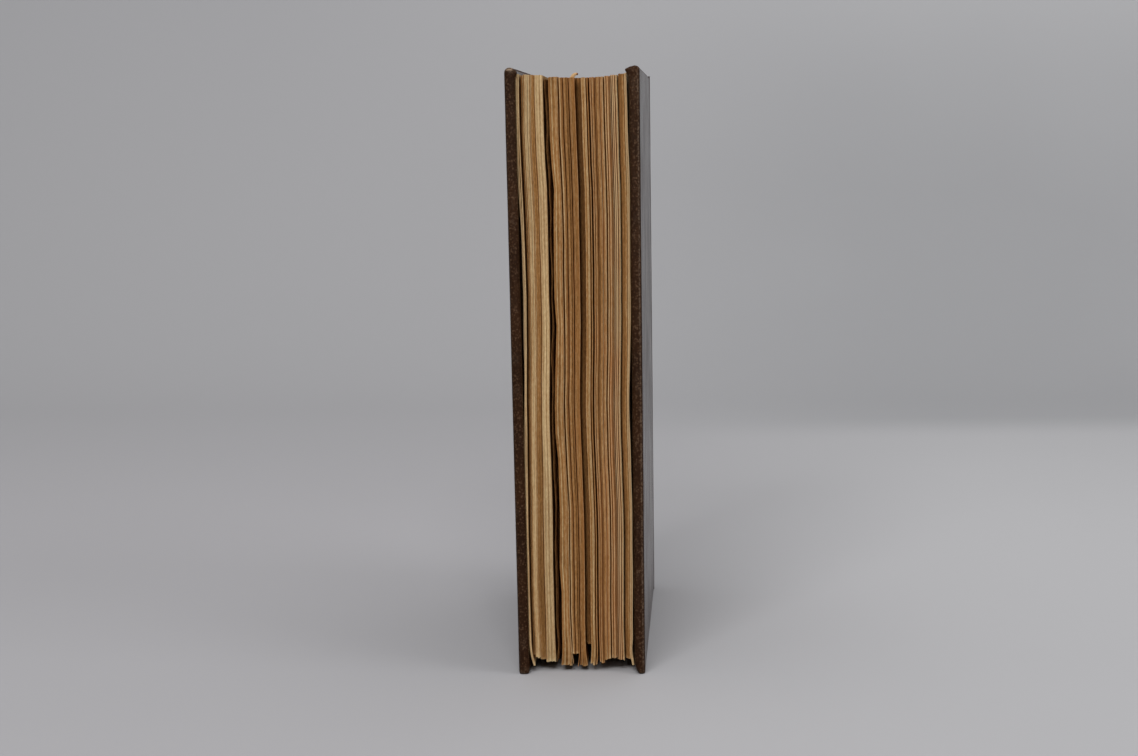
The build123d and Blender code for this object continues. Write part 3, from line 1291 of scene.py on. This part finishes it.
@dataclass(frozen=True)
class Bundle:
    """A bundle of leaves as it shows at the fore-edge."""

    front: Seam  # the seam on its side towards the front cover
    back: Seam  # the seam on its side towards the back cover
    tail: float  # the height of its lower corner
    head: float  # the height of its upper corner
    tones: tuple[float, ...]  # its stripes from front to back, from 0, brown, to 1, pale
    setback: float = 0.0  # how much deeper it lies than the rest
    slant: float = 0.0  # how much deeper it lies on its side towards the front cover
    lean_back: float = 0.0  # how much deeper it lies at the head than half way up
    flare: float = 0.0  # how far its tail spreads to each side
    curl: float = 0.0  # how far its tail turns towards the back cover
    rust: float = 0.0  # how rusty its leaves are
    reach: float = 13.0  # how far up from the tail it spreads and turns
    belly: float = 0.0  # how far it bows towards the front cover above its turned tail
    parted: float = 0.33  # the share of the gaps between its groups of leaves that show as dark lines
    variety: float = 1.0  # how much its groups of leaves differ in tone

    def sides(self, z: np.ndarray) -> tuple[np.ndarray, np.ndarray]:
        """The X of its two sides at each height, kept clear of the covers."""
        limit = SIZES.inner_face(z) - COVER_CLEARANCE
        first = self.front.at(z) + SEAM_CLEARANCE + FRONT_SEAM_SHARE * self.front.value.opening
        last = self.back.at(z) - SEAM_CLEARANCE - BACK_SEAM_SHARE * self.back.value.opening
        return np.clip(first, -limit, limit), np.clip(last, -limit, limit)

    def width(self) -> float:
        """Its usual width."""
        first, second = self.sides(SWAY_HEIGHTS)
        return float(np.median(second - first))

    def tone(self, share: float) -> float:
        """The tone of its stripes at a place across it, from 0 to 1."""
        places = (np.arange(len(self.tones)) + 0.5) / len(self.tones)
        return float(np.interp(share, places, self.tones))


@dataclass(frozen=True)
class LooseLeaf:
    """A single leaf that stands apart from its bundle, whole or torn."""

    beside: Seam
    off: float  # how far from that seam it stands, towards the back cover
    tail: float  # the height of its lower corner
    head: float  # the height of its upper corner
    setback: float
    curl: float  # how far its tail turns towards the back cover
    tone: float
    reach: float = 10.0  # how far up from the tail it turns
    torn: float = 0.0  # how ragged its fore-edge is
    thickness: float = 0.16
    rust: float = 0.2


# Gives the X of a leaf's fore-edge from heights and from how far its tail is turned there
EdgeLine = Callable[[np.ndarray, np.ndarray], np.ndarray]


@dataclass
class TextBlock:
    """All the leaves, sheet by sheet, packed and rounded at the back and open in bundles at the fore-edge.

    A pair of numbers that is called a spread says how much groups of leaves differ, and then single leaves.
    """

    finishes: Finishes
    pitch: float = 0.26
    sheet_share: float = 0.94  # how much of its place a leaf fills
    back_clearance: float = 0.15
    largest_group: int = 4
    wide_gap: Pair = (1.1, 2.1)  # in leaves
    narrow_gap: Pair = (0.15, 0.5)
    step_spread: Pair = (0.22, 0.07)
    tail_spread: Pair = (0.18, 0.06)
    head_spread: Pair = (0.05, 0.05)
    tone_spread: Pair = (0.105, 0.07)
    rounding: float = 0.12  # how much deeper the outer leaves of a bundle lie
    sunk: float = 2.0  # how much deeper those beside a crack lie
    crack_before: float = 0.3  # how much of a crack shows on the bundle before it
    crack_shade: float = 0.2
    gap_shade: float = 0.12  # how much darker the leaves beside a wide gap are
    tail_light: float = 0.2  # how much paler the leaves are at their tails
    tail_height: float = 1.6
    drift: float = 0.04  # how much the tone of a leaf drifts up its height
    drift_waves: Pair = (23.0, 9.0)
    # Painted warm shade, carried in the rust value: leaves beside a crack and beside a wide gap are painted
    # redder.
    crack_warm_shade: float = 1.2
    gap_warm_shade: Pair = (0.35, 0.5)  # painted warm shade beside a wide gap, carried as rust: at least so much, and more by the bundle's own
    rust_share: Pair = (0.6, 0.5)  # how much of its bundle's rust a leaf has, and how much that differs
    rust_limits: Pair = (0.2, 1.0)
    torn_rows: int = 150
    seed: int = 11
    bundles: Sequence[Bundle] = (
        Bundle(
            Seam.FRONT_END_OUT, Seam.FRONT_END_IN, 3.2, 237.5, (0.96, 1.0), -1.8,
            curl=1.5, reach=10.0, rust=0.1,
        ),
        Bundle(Seam.FRONT_END_IN, Seam.FIRST, 6.4, 237.0, (0.36, 0.74), 2.2, rust=0.3),
        Bundle(
            Seam.FIRST, Seam.FIRST_DARK, 5.7, 237.3, (0.84, 0.66, 0.98, 0.66), 0.3,
            rust=0.1, parted=0.25,
        ),
        Bundle(Seam.FIRST_DARK, Seam.SECOND, 5.2, 237.1, (0.42, 0.14, 0.32), 0.6, rust=0.15),
        Bundle(
            Seam.SECOND, Seam.TEAR_FRONT, 4.2, 237.05, (0.80, 0.82, 0.82, 0.78),
            flare=0.2, parted=0.0, variety=0.35,
        ),
        # the leaves deep in the torn gap have low tones: painted shade
        Bundle(Seam.TEAR_FRONT, Seam.TEAR_BACK, 6.0, 235.0, (0.10, 0.14, 0.28), 13.0),
        Bundle(
            Seam.TEAR_BACK, Seam.THIRD, 2.7, 236.3, (0.44, 0.54, 0.62), 0.4,
            flare=0.5, curl=-0.1, rust=0.2,
        ),
        Bundle(Seam.THIRD, Seam.FOURTH, 7.2, 236.0, (0.60, 0.45, 0.63, 0.25), 0.7, rust=0.15),
        Bundle(
            Seam.FOURTH, Seam.HOLLOW_FRONT, 2.3, 235.9, (0.65, 0.38, 0.60, 0.40), 0.6,
            flare=0.8, rust=0.3, reach=8.0,
        ),
        Bundle(
            Seam.HOLLOW_FRONT, Seam.HOLLOW_BACK, 10.4, 235.8, (0.34, 0.52, 0.46), 4.0,
            slant=4.0, lean_back=1.5, rust=0.2,
        ),
        Bundle(
            Seam.HOLLOW_BACK, Seam.FIFTH, 2.8, 235.8, (0.62, 0.48, 0.60, 0.70), 0.1,
            curl=-0.5, reach=9.0,
        ),
        Bundle(Seam.FIFTH, Seam.MIDDLE_FIFTH, 3.6, 235.9, (0.42, 0.82, 0.56, 0.58), 0.5, rust=0.5),
        Bundle(Seam.MIDDLE_FIFTH, Seam.SIXTH, 4.9, 236.0, (0.72, 0.66, 0.74, 0.58), 0.4, rust=0.5),
        Bundle(Seam.SIXTH, Seam.SEVENTH, 5.6, 236.2, (0.72, 0.88, 0.82, 0.90), 0.2, rust=0.6),
        Bundle(Seam.SEVENTH, Seam.EIGHTH, 4.8, 236.6, (0.98, 0.84, 0.90, 0.86), rust=0.7),
        Bundle(
            Seam.EIGHTH, Seam.BACK_END_IN, 4.7, 236.9, (0.32, 0.38, 0.54), 0.8,
            slant=2.0, lean_back=-1.2, rust=0.3,
        ),
        Bundle(
            Seam.BACK_END_IN, Seam.BACK_END_OUT, 3.1, 237.3, (0.80, 0.88), -0.4,
            curl=0.6, rust=0.3, belly=0.4, reach=6.0,
        ),
    )
    loose: Sequence[LooseLeaf] = (
        LooseLeaf(Seam.THIRD, 0.0, 3.2, 64.0, 0.8, 0.9, 0.75),
        # the torn leaves' low tones are painted shade in the torn gap
        LooseLeaf(Seam.TEAR_FRONT, 0.70, 4.6, 234.6, 4.2, -0.4, 0.20, torn=2.0),
        LooseLeaf(Seam.TEAR_FRONT, 0.92, 3.6, 235.2, 2.4, -0.5, 0.30, torn=2.2),
        LooseLeaf(Seam.TEAR_FRONT, 1.10, 4.0, 235.4, 2.8, -0.5, 0.26, torn=2.4),
        LooseLeaf(Seam.TEAR_FRONT, 1.32, 3.8, 235.0, 4.4, -0.3, 0.16, torn=2.4),
    )

    def __post_init__(self) -> None:
        """Sets where each sheet has points, as shares of its height and of its way out from the back."""
        near_tail = [0.0, 0.007, 0.015, 0.025, 0.037, 0.052]
        near_head = [0.975, 0.99, 1.0]
        self.up = np.concatenate([near_tail, np.linspace(0.08, 0.95, 20), near_head])
        self.out = np.array([0.0, 0.3, 0.6, 0.85, 0.96, 1.0])

    def sheet_grid(
        self,
        packed: float,
        corners: Pair,
        fore_edge: float,
        reach: float,
        at_edge: EdgeLine,
        torn: float = 0.0,
    ) -> tuple[np.ndarray, np.ndarray]:
        """Places one leaf, from the rounded back to the fore-edge.

        Args:
            packed: the leaf's place in the glued back.
            corners: the heights of its lower and upper fore-edge corners.
            fore_edge: how far it reaches, along Y.
            reach: how far up from the tail its turned part goes.
            at_edge: the line of its fore-edge.
            torn: how ragged its fore-edge is.

        Returns:
            A grid of points in its middle, and how far in from its free edges each lies, from 0 to 1.
        """
        spread = SIZES.shoulder_half / SIZES.block_half
        back_y = float(SIZES.arc_y(SIZES.block_radius, packed * spread)) - self.back_clearance
        free = np.concatenate([[0.0, 0.0], self.out])
        open_y = SIZES.sewn_front + (fore_edge - SIZES.sewn_front) * self.out
        y = np.concatenate([[back_y, SIZES.shoulder_y], open_y])
        up = np.linspace(0.0, 1.0, self.torn_rows) if torn else self.up
        z, low, high = leaf_heights(free, up, corners)
        x = packed + (at_edge(z, turned(z - low, reach, free)) - packed) * free**FAN_POWER
        x[:, 0] = packed * spread
        to_edge = np.minimum(y - fore_edge, np.minimum(z - low, high - z))
        grid = points_at(x, y, z)
        if torn:
            along = points_at(packed * 9.0, 0.0, z)
            ragged = 0.5 + 0.6 * ripple(along, 8.0, 2.0) + 0.5 * ripple(along, 2.4, 5.0)
            grid[..., 1] += torn * ragged * free**6
            grid[..., 0] += 0.3 * torn * ripple(along, 15.0, 9.0) * free**3
        return grid, ease(to_edge, 0.2, 6.0)

    def groups(
        self, bundle: Bundle, count: int, random: np.random.Generator
    ) -> tuple[np.ndarray, np.ndarray, float, np.ndarray]:
        """Parts a bundle's leaves into small groups with hairline gaps between them.

        Args:
            bundle: the bundle.
            count: how many leaves are in the bundle.
            random: what the groups' sizes are drawn from.

        Returns:
            The number of each leaf's group, each leaf's place in the bundle from 0 to 1, a leaf's share
            of it, and which leaves stand beside a wide gap.
        """
        group, gap = np.zeros(count, int), np.zeros(count)
        start, number = 0, 0
        while start < count:
            end = min(count, start + int(random.integers(1, self.largest_group + 1)))
            group[start:end] = number
            wide = random.random() < bundle.parted
            gap[end - 1] = random.uniform(*(self.wide_gap if wide else self.narrow_gap))
            start, number = end, number + 1
        gap[-1] = 0.0
        filled = np.cumsum(1.0 + gap)
        wide_after = gap >= self.wide_gap[0]
        beside = wide_after | np.roll(wide_after, 1)
        return group, (filled - gap - 0.5) / filled[-1], 1.0 / filled[-1], beside

    def add_bundle(self, skin: Skin, bundle: Bundle, first: int, total: int, count: int) -> None:
        """Adds a bundle's leaves.

        Args:
            skin: what the leaves are added to.
            bundle: the bundle.
            first: how many leaves come before it.
            total: how many leaves there are in all.
            count: how many leaves are in the bundle.
        """
        step = 2.0 * SIZES.block_half / total
        random = np.random.default_rng((self.seed, self.bundles.index(bundle)))
        group, shares, leaf_share, beside = self.groups(bundle, count, random)
        uneven = random.normal(0.0, 1.0, (count, 5))
        shared = random.normal(0.0, 1.0, (group[-1] + 1, 5))[group]
        width = bundle.width()
        thickness = self.sheet_share * min(step, width * leaf_share)
        for leaf, share in enumerate(shares):
            group_step, group_tail, group_head, group_tone, group_rust = shared[leaf]
            own_step, own_tail, own_head, own_phase, own_tone = uneven[leaf]
            packed = -SIZES.block_half + (first + leaf + 0.5) * step
            border = abs(2.0 * share - 1.0)
            after, before = bundle.front.value.opening, self.crack_before * bundle.back.value.opening
            brink = (after if share < 0.5 else before) * border ** (2.0 * width + 3.0)
            deeper = self.rounding * border**2 + self.sunk * brink
            deeper += np.dot(self.step_spread, (abs(group_step), own_step))
            fore_edge = SIZES.leaf_fore_edge + bundle.setback + bundle.slant * (1.0 - share) + deeper
            tail = bundle.tail + np.dot(self.tail_spread, (group_tail, own_tail))
            head = bundle.head + np.dot(self.head_spread, (group_head, own_head))
            spill = bundle.curl + bundle.flare * (2.0 * share - 1.0)

            def at_edge(z: np.ndarray, turn: np.ndarray) -> np.ndarray:
                """The X of this leaf's fore-edge."""
                front, back = bundle.sides(z)
                return front + share * (back - front) + spill * turn - bundle.belly * bow(z, bundle.tail)

            grid, margin = self.sheet_grid(packed, (tail, head), fore_edge, bundle.reach, at_edge)
            y, z = grid[..., 1], grid[..., 2]
            out = np.clip((SIZES.sewn_front - y) / (SIZES.sewn_front - fore_edge), 0.0, 1.0)
            grid[..., 1] += bundle.lean_back * upward(z) * out**6
            drift = np.sin(z / self.drift_waves[0] + 3.0 * group_tail)
            drift += 0.7 * np.sin(z / self.drift_waves[1] + 3.0 * group_head + own_phase)
            tone = bundle.tone(share) + bundle.variety * np.dot(self.tone_spread, (group_tone, own_tone))
            tone = tone - self.crack_shade * brink + self.drift * drift
            tone = tone + self.tail_light * fade(z - tail, 0.0, self.tail_height)
            tone = tone - self.gap_shade * beside[leaf]
            # the rust value also carries painted warm shade beside cracks and wide gaps
            rust = bundle.rust * np.clip(np.dot(self.rust_share, (1.0, group_rust)), *self.rust_limits)
            beside_gap = np.dot(self.gap_warm_shade, (1.0, bundle.rust)) * beside[leaf]
            rust = max(rust, beside_gap, min(self.crack_warm_shade * brink, 1.0))
            skin.leaf(grid, thickness, tone=tone, rust=rust, margin=margin)

    def add_loose(self, skin: Skin, leaf: LooseLeaf) -> None:
        """Adds a leaf that stands apart.

        Args:
            skin: what the leaf is added to.
            leaf: the leaf.
        """

        def at_edge(z: np.ndarray, turn: np.ndarray) -> np.ndarray:
            """The X of this leaf's fore-edge."""
            return leaf.beside.at(z) + leaf.off + leaf.curl * turn

        packed = leaf.beside.value.across + leaf.off
        fore_edge = SIZES.leaf_fore_edge + leaf.setback
        corners = (leaf.tail, leaf.head)
        grid, margin = self.sheet_grid(packed, corners, fore_edge, leaf.reach, at_edge, leaf.torn)
        unglued = slice(2, None)
        skin.leaf(
            grid[:, unglued], leaf.thickness, tone=leaf.tone, rust=leaf.rust, margin=margin[:, unglued]
        )

    def add_curled_corner(self, skin: Skin) -> None:
        """Adds the scrap of a page corner that curls up out of the head."""
        along = np.linspace(0.0, 1.0, 15)[:, None]
        wide = np.linspace(-1.0, 1.0, 5)
        start_x, run, start_z, rise, bend = -0.4, 2.6, 235.0, 2.2, 1.95
        x = start_x + run * along
        z = start_z + rise * np.sin(bend * along**0.7)
        lean = np.arctan2(np.gradient(z, axis=0), np.gradient(x, axis=0))
        offset = (0.85 - 0.5 * along) * wide
        y = SIZES.leaf_fore_edge + 1.4 - 0.5 * along + 0.35 * wide**2
        grid = points_at(x - np.sin(lean) * offset, y, z + np.cos(lean) * offset)
        half = np.array([0.0, 0.08, 0.0])
        tone = 0.9 - 1.1 * ease(along, 0.68, 0.92)
        skin.sheet(grid + half, grid - half, tone=tone, rust=0.3, margin=0.0)

    def build(self) -> None:
        """Builds the leaves as one piece that stands for the text block."""
        skin = Skin()
        counts = [max(1, round(bundle.width() / self.pitch)) for bundle in self.bundles]
        first = 0
        for bundle, count in zip(self.bundles, counts):
            self.add_bundle(skin, bundle, first, sum(counts), count)
            first += count
        for leaf in self.loose:
            self.add_loose(skin, leaf)
        self.add_curled_corner(skin)
        made = skin.piece("leaves", self.finishes.leaves, "leaves")
        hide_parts("text_block")
        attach(made, BLOCK_BODY)


@dataclass
class Flyleaf:
    """The free endpaper beside a cover."""

    side: Side
    finishes: Finishes
    seam: Seam
    curl: float  # how far its tail turns towards the back cover
    tail: float  # the height of its lower corner
    head: float  # the height of its upper corner
    forward: float  # how far it stands out past the other leaves
    belly: float = 0.0  # how far it bows towards the front cover above its turned tail
    reach: float = 10.0  # how far up from the tail it turns
    thickness: float = 0.22
    off_block: float = 0.3
    off_seam: float = 0.05
    off_cover: float = 0.2
    off_joint: float = 0.8

    def build(self) -> None:
        """Builds the leaf along the seam beside it, curled at its lower corner."""
        fore_edge = SIZES.leaf_fore_edge - self.forward
        hinge_y = SIZES.joint_y - self.off_joint
        free = np.concatenate([np.linspace(0.0, 0.85, 14), [0.9, 0.94, 0.97, 1.0]])
        up = np.concatenate([np.linspace(0.0, 0.08, 14), np.linspace(0.1, 1.0, 40)])
        z, low, high = leaf_heights(free, up, (self.tail, self.head))
        y = hinge_y + (fore_edge - hinge_y) * free
        limit = SIZES.inner_face(z) - self.off_cover
        at_edge = np.clip(self.seam.at(z) + self.side.value * self.off_seam, -limit, limit)
        at_hinge = self.side.value * (SIZES.block_half + self.off_block)
        x = at_hinge + (at_edge - at_hinge) * free**FAN_POWER
        x += self.curl * turned(z - low, self.reach, free)
        x -= self.belly * bow(z, self.tail) * free**TURN_POWER
        to_rim = np.minimum(y - fore_edge, np.minimum(z - low, high - z))
        skin = Skin()
        skin.leaf(points_at(x, y, z), self.thickness, margin=ease(to_rim, -1.0, 14.0))
        made = skin.piece(f"{self.side.word}_free_endpaper", self.finishes.endpaper, "endpaper")
        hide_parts(f"{self.side.word}_flyleaf")
        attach(made, BLOCK_BODY)


def dress_solid(node: str, finish: bpy.types.Material) -> None:
    """Gives a shown solid its finish.

    Args:
        node: the solid's name.
        finish: its material.
    """
    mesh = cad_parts[node].data
    mesh.materials.clear()
    mesh.materials.append(finish)
    LOG.info("%s: dressed", node)


@dataclass
class Spine:
    """The leather over the rounded back, with its caps and hems, and what lies under it."""

    finishes: Finishes
    skin_thickness: float = 0.36
    hem: float = 12.0
    least_hem: float = 1.0  # at the joints
    hem_end: float = 2.6  # how far past the leaves the hem runs out
    cap_depth: float = 1.9
    least_cap: float = 0.34  # half the cap's depth at the joints
    arris: Pair = (2.6, 0.4)  # where the spine's sides are rubbed, in from its full width
    arris_rub: float = 0.35
    end_rub: float = 0.75
    end_reach: float = 4.5
    flat_rub: float = 0.06
    ridge: float = 0.10  # how far the tapes raise the leather
    wave: float = 0.05
    sunk: float = 0.06  # how far the leather lies inside its solid
    tape_count: int = 4
    tape_width: float = 14.0
    tape_layer: Pair = (0.14, 0.62)  # how far off the leaves a tape's two faces lie
    tape_end: float = 0.3
    band_turns: int = 44
    band_inset: float = 1.0
    band_end: float = 3.0
    band_rise: float = 1.18
    band_height: float = 1.15
    seed: float = 31.0

    def plan(self) -> tuple[np.ndarray, np.ndarray]:
        """The outline of the leather in plan, from the front joint over the back to the back joint.

        Returns:
            Points along the outline, and the inward direction at each.
        """
        half = SIZES.spine_half
        leg_top = float(SIZES.arc_y(SIZES.spine_radius, half))
        leg = np.linspace(SIZES.shoulder_y, leg_top, 5)[:-1]
        turn = math.asin(half / SIZES.spine_radius)
        sweep = np.linspace(-turn, turn, 49)
        arc = np.stack(SIZES.on_arc(SIZES.spine_radius, sweep), -1)
        inward_arc = -np.stack([np.sin(sweep), np.cos(sweep)], -1)
        left = np.stack([np.full_like(leg, -half), leg], -1)
        right = np.stack([np.full_like(leg, half), leg[::-1]], -1)
        outline = np.concatenate([left, arc, right])
        side_in = np.tile([1.0, 0.0], (len(leg), 1))
        inward = np.concatenate([side_in, inward_arc, -side_in])
        for end, sign in ((len(leg), 1.0), (-len(leg) - 1, -1.0)):
            inward[end] = inward[end] + [sign, 0.0]
            inward[end] /= np.linalg.norm(inward[end])
        return outline, inward

    def leather(self) -> None:
        """Builds the leather of the spine, rolled over into a cap and a hem at each end."""
        outline, inward = self.plan()
        from_middle = np.abs(outline[:, 0])
        middle = fade(from_middle, SIZES.block_half, SIZES.block_half + self.hem_end)
        cap = self.least_cap + (self.cap_depth / 2 - self.least_cap) * middle
        hem = self.least_hem + (self.hem - self.least_hem) * middle
        hem_share = np.linspace(1.0, 0.0, 6)[:-1, None]
        roll = np.linspace(0.0, math.pi, 9)[:, None]
        low_z = np.concatenate([cap + (hem - cap) * hem_share, cap * (1.0 - np.sin(roll))])
        low_depth = np.concatenate([2.0 * cap * np.ones_like(hem_share), cap * (1.0 + np.cos(roll))])
        up = np.linspace(0.0, 1.0, 73)[1:-1, None]
        body_z = cap + (SIZES.height - 2.0 * cap) * up
        z = np.concatenate([low_z, body_z, SIZES.height - low_z[::-1]])
        depth = np.concatenate([low_depth, np.zeros_like(body_z), low_depth[::-1]])
        plan = outline + inward * depth[..., None]
        grid = points_at(plan[..., 0], plan[..., 1], z)
        outside = depth < TINY
        rough = ripple(grid, 7.0, self.seed)
        slow = ripple(grid, 26.0, self.seed + 5.0)
        raised = self.ridge * (self.tape_ridge(z) * middle) + self.wave * slow - self.sunk
        proud = np.where(outside, raised, 0.0)
        grid[..., :2] -= inward * proud[..., None]
        to_end = np.minimum(z, SIZES.height - z)
        at_arris = ease(from_middle, *(SIZES.spine_half - off for off in self.arris))
        wear = self.end_rub * fade(to_end, 0.0, self.end_reach) * ease(rough, -0.25, 0.45)
        wear += self.arris_rub * at_arris * ease(rough, 0.0, 0.6)
        wear += self.flat_rub * ease(slow, 0.1, 0.6) * middle
        wear = np.clip(np.where(outside, wear, 0.3 * wear), 0.0, 1.0)
        skin = Skin()
        skin.quads(skin.add(grid, wear=wear, polish=0.7 * ease(to_end, 1.0, 6.0)))
        made = thicken(skin, self.skin_thickness).piece("spine_skin", self.finishes.leather, "leather")
        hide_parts("spine_leather")
        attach(made, BLOCK_BODY)

    def tape_heights(self) -> list[float]:
        """The middle height of each sewing tape."""
        pitch = (SIZES.head - SIZES.square) / self.tape_count
        return [SIZES.square + pitch * (place + 0.5) for place in range(self.tape_count)]

    def tape_ridge(self, z: np.ndarray) -> np.ndarray:
        """How far the tapes show through the leather at each height, from 0 to 1."""
        half = self.tape_width / 2
        return sum(fade(np.abs(z - height), half - 1.0, half + 1.5) for height in self.tape_heights())

    def band(self, name: str, base: float, up: float) -> None:
        """Builds one worked end band.

        Args:
            name: the solid that it stands for.
            base: the height of the leaves that it sits on.
            up: 1 at the head and -1 at the tail.
        """
        radius, reach = SIZES.block_radius - self.band_inset, SIZES.block_half - self.band_end
        sweep = np.linspace(-1.0, 1.0, self.band_turns * 4 + 1) * math.asin(reach / radius)
        around = np.linspace(0.0, 2.0 * math.pi, 13)[:-1]
        wave = np.abs(np.sin(np.linspace(0.0, self.band_turns * math.pi, len(sweep))))
        girth = 0.86 + 0.12 * wave
        girth[[0, -1]] = 0.3
        across = radius + np.outer(girth, np.cos(around))
        rise = self.band_rise + self.band_height * np.outer(girth, np.sin(around) * up)
        rings = points_at(*SIZES.on_arc(across, sweep[:, None]), base + up * rise)
        turn = np.linspace(0.0, self.band_turns / 2.0, len(sweep))[:, None]
        skin = Skin()
        skin.tube(rings if up > 0 else rings[::-1], stripe=np.floor(turn / 2.0) % 2.0)
        made = skin.piece(f"{name}_thread", self.finishes.thread, "band", crease=70.0)
        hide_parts(name)
        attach(made, BLOCK_BODY)

    def tapes(self) -> None:
        """Builds the sewing tapes as thin woven strips on the back of the leaves."""
        skin = Skin()
        reach = SIZES.block_half - self.tape_end
        sweep = np.linspace(-1.0, 1.0, 31) * math.asin(reach / SIZES.block_radius)
        rise = np.linspace(-0.5, 0.5, 9) * self.tape_width
        at_edge = np.abs(rise) > self.tape_width * 0.45
        for height in self.tape_heights():
            layers = []
            for off in self.tape_layer:
                face = points_at(*SIZES.on_arc(SIZES.block_radius + off, sweep[:, None]), height + rise)
                face[..., 2] += 0.15 * ripple(face, 5.0, self.seed) * at_edge
                layers.append(face)
            skin.sheet(*layers)
        made = skin.piece("woven_tapes", self.finishes.linen, "tape")
        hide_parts("sewing_tapes")
        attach(made, BLOCK_BODY)

    def build(self) -> None:
        """Builds the spine's pieces and dresses the solids under its leather."""
        self.leather()
        self.tapes()
        self.band("head_band", SIZES.head, 1.0)
        self.band("tail_band", SIZES.square, -1.0)
        dress_solid("spine_inlay", self.finishes.card)
        dress_solid("spine_linings", self.finishes.lining)


@dataclass(frozen=True)
class Lamp:
    """A soft lamp, which the camera doesn't see, with its lengths in metres and its power in watts."""

    name: str
    at: tuple[float, float, float]
    aim: tuple[float, float, float]
    size: tuple[float, float]
    power: float

    def hang(self) -> None:
        """Hangs the lamp."""
        light = bpy.data.lights.new(self.name, "AREA")
        light.shape, light.energy = "RECTANGLE", self.power
        light.size, light.size_y = self.size
        holder = bpy.data.objects.new(self.name, light)
        holder.visible_camera = False
        holder.location = self.at
        holder.rotation_euler = (Vector(self.aim) - Vector(self.at)).to_track_quat("-Z", "Y").to_euler()
        bpy.context.scene.collection.objects.link(holder)


@dataclass
class Studio:
    """The backdrop, the lamps and the camera."""

    camera_at: tuple[float, float, float] = (49.46, -914.53, 213.96)
    yaw: float = math.radians(-3.629)
    pitch: float = math.radians(6.525)
    roll: float = math.radians(-1.021)
    lens: float = 67.38
    sensor: float = 36.0
    clip: Pair = (0.01, 20.0)  # in metres
    room_light: float = 0.15
    room_colour: tuple[float, ...] = (0.96, 0.97, 1.0, 1.0)
    backdrop_colour: tuple[float, ...] = (0.38, 0.38, 0.39, 1.0)
    lamps: Sequence[Lamp] = (
        Lamp("overhead", (0.1, -0.2, 2.3), (0.0, 0.1, 0.0), (2.2, 2.2), 27.0),
        Lamp("front", (-0.2, -1.95, 1.6), (0.0, 0.0, 0.12), (1.4, 0.7), 46.0),
        Lamp("right", (1.9, -0.9, 1.2), (0.0, 0.0, 0.1), (1.2, 1.2), 11.0),
    )

    def backdrop(self) -> None:
        """Builds one sheet of paper that runs along the floor and sweeps up behind."""
        front, bend_from, bend_radius, wall_top, half_width = -1.7, 0.75, 0.7, 2.6, 2.6
        turn = np.linspace(0.0, math.pi / 2, 25)
        bend = np.stack([bend_from + bend_radius * np.sin(turn), bend_radius * (1.0 - np.cos(turn))], -1)
        flat = np.stack([np.linspace(front, bend_from, 12)[:-1], np.zeros(11)], -1)
        wall = np.stack([np.full(6, bend_from + bend_radius), np.linspace(bend_radius, wall_top, 7)[1:]], -1)
        depth, height = np.concatenate([flat, bend, wall]).T
        across = np.linspace(-half_width, half_width, 9)[:, None]
        skin = Skin()
        skin.quads(skin.add(points_at(across, depth, height) / MM), flip=True)
        skin.piece("backdrop", BackdropFinish().make())

    def lights(self) -> None:
        """Sets the soft lamps and the dim room round them."""
        for lamp in self.lamps:
            lamp.hang()
        bench = Bench(bpy.data.worlds.new("room"))
        rays = bench.node("ShaderNodeLightPath")
        seen = rays.out("Is Camera Ray") + rays.out("Is Glossy Ray") + rays.out("Is Transmission Ray")
        glow = ((self.room_colour, self.room_light), (self.backdrop_colour, 1.0))
        dim, pale = (
            bench.node("ShaderNodeBackground", None, {"Color": colour, "Strength": strength})
            for colour, strength in glow
        )
        mixed = bench.node("ShaderNodeMixShader", None, {0: seen, 1: dim, 2: pale})
        bench.node("ShaderNodeOutputWorld", None, {"Surface": mixed})
        bpy.context.scene.world = bench.holder

    def camera(self) -> None:
        """Sets the camera where the photograph was taken from."""
        flat_ahead = Vector((math.sin(self.yaw), math.cos(self.yaw), 0.0))
        forward = flat_ahead * math.cos(self.pitch) - Vector((0.0, 0.0, math.sin(self.pitch)))
        level = Vector((math.cos(self.yaw), -math.sin(self.yaw), 0.0))
        upright = level.cross(forward)
        right = level * math.cos(self.roll) + upright * math.sin(self.roll)
        up = upright * math.cos(self.roll) - level * math.sin(self.roll)
        lens = bpy.data.cameras.new("camera")
        lens.lens, lens.sensor_width, lens.sensor_fit = self.lens, self.sensor, "HORIZONTAL"
        lens.clip_start, lens.clip_end = self.clip
        holder = bpy.data.objects.new("camera", lens)
        turn = Matrix((right, up, -forward)).transposed().to_4x4()
        holder.matrix_world = Matrix.Translation(Vector(self.camera_at) * MM) @ turn
        bpy.context.scene.collection.objects.link(holder)
        bpy.context.scene.camera = holder

    def build(self) -> None:
        """Builds the whole studio."""
        self.backdrop()
        self.lights()
        self.camera()
        bpy.context.scene.view_settings.view_transform = "Standard"


def main() -> None:
    """Builds the book, piece by piece, and the studio round it."""
    logging.basicConfig(level=logging.INFO, format="%(name)s: %(message)s")
    finishes = Finishes()
    Cover(Side.FRONT, finishes, fold=0.8, tuck=0.0, arris_rub=0.05, seed=2.0).build()
    Cover(Side.BACK, finishes, fold=1.5, tuck=1.3, arris_rub=0.4, seed=4.0).build()
    TextBlock(finishes).build()
    front_end, back_end = Seam.FRONT_END_OUT, Seam.BACK_END_OUT
    Flyleaf(Side.FRONT, finishes, front_end, curl=1.6, tail=2.9, head=237.6, forward=1.7).build()
    Flyleaf(Side.BACK, finishes, back_end, curl=0.5, tail=2.9, head=237.4, forward=0.5, belly=0.4).build()
    Spine(finishes).build()
    Studio().build()


if __name__ == "__main__":
    main()
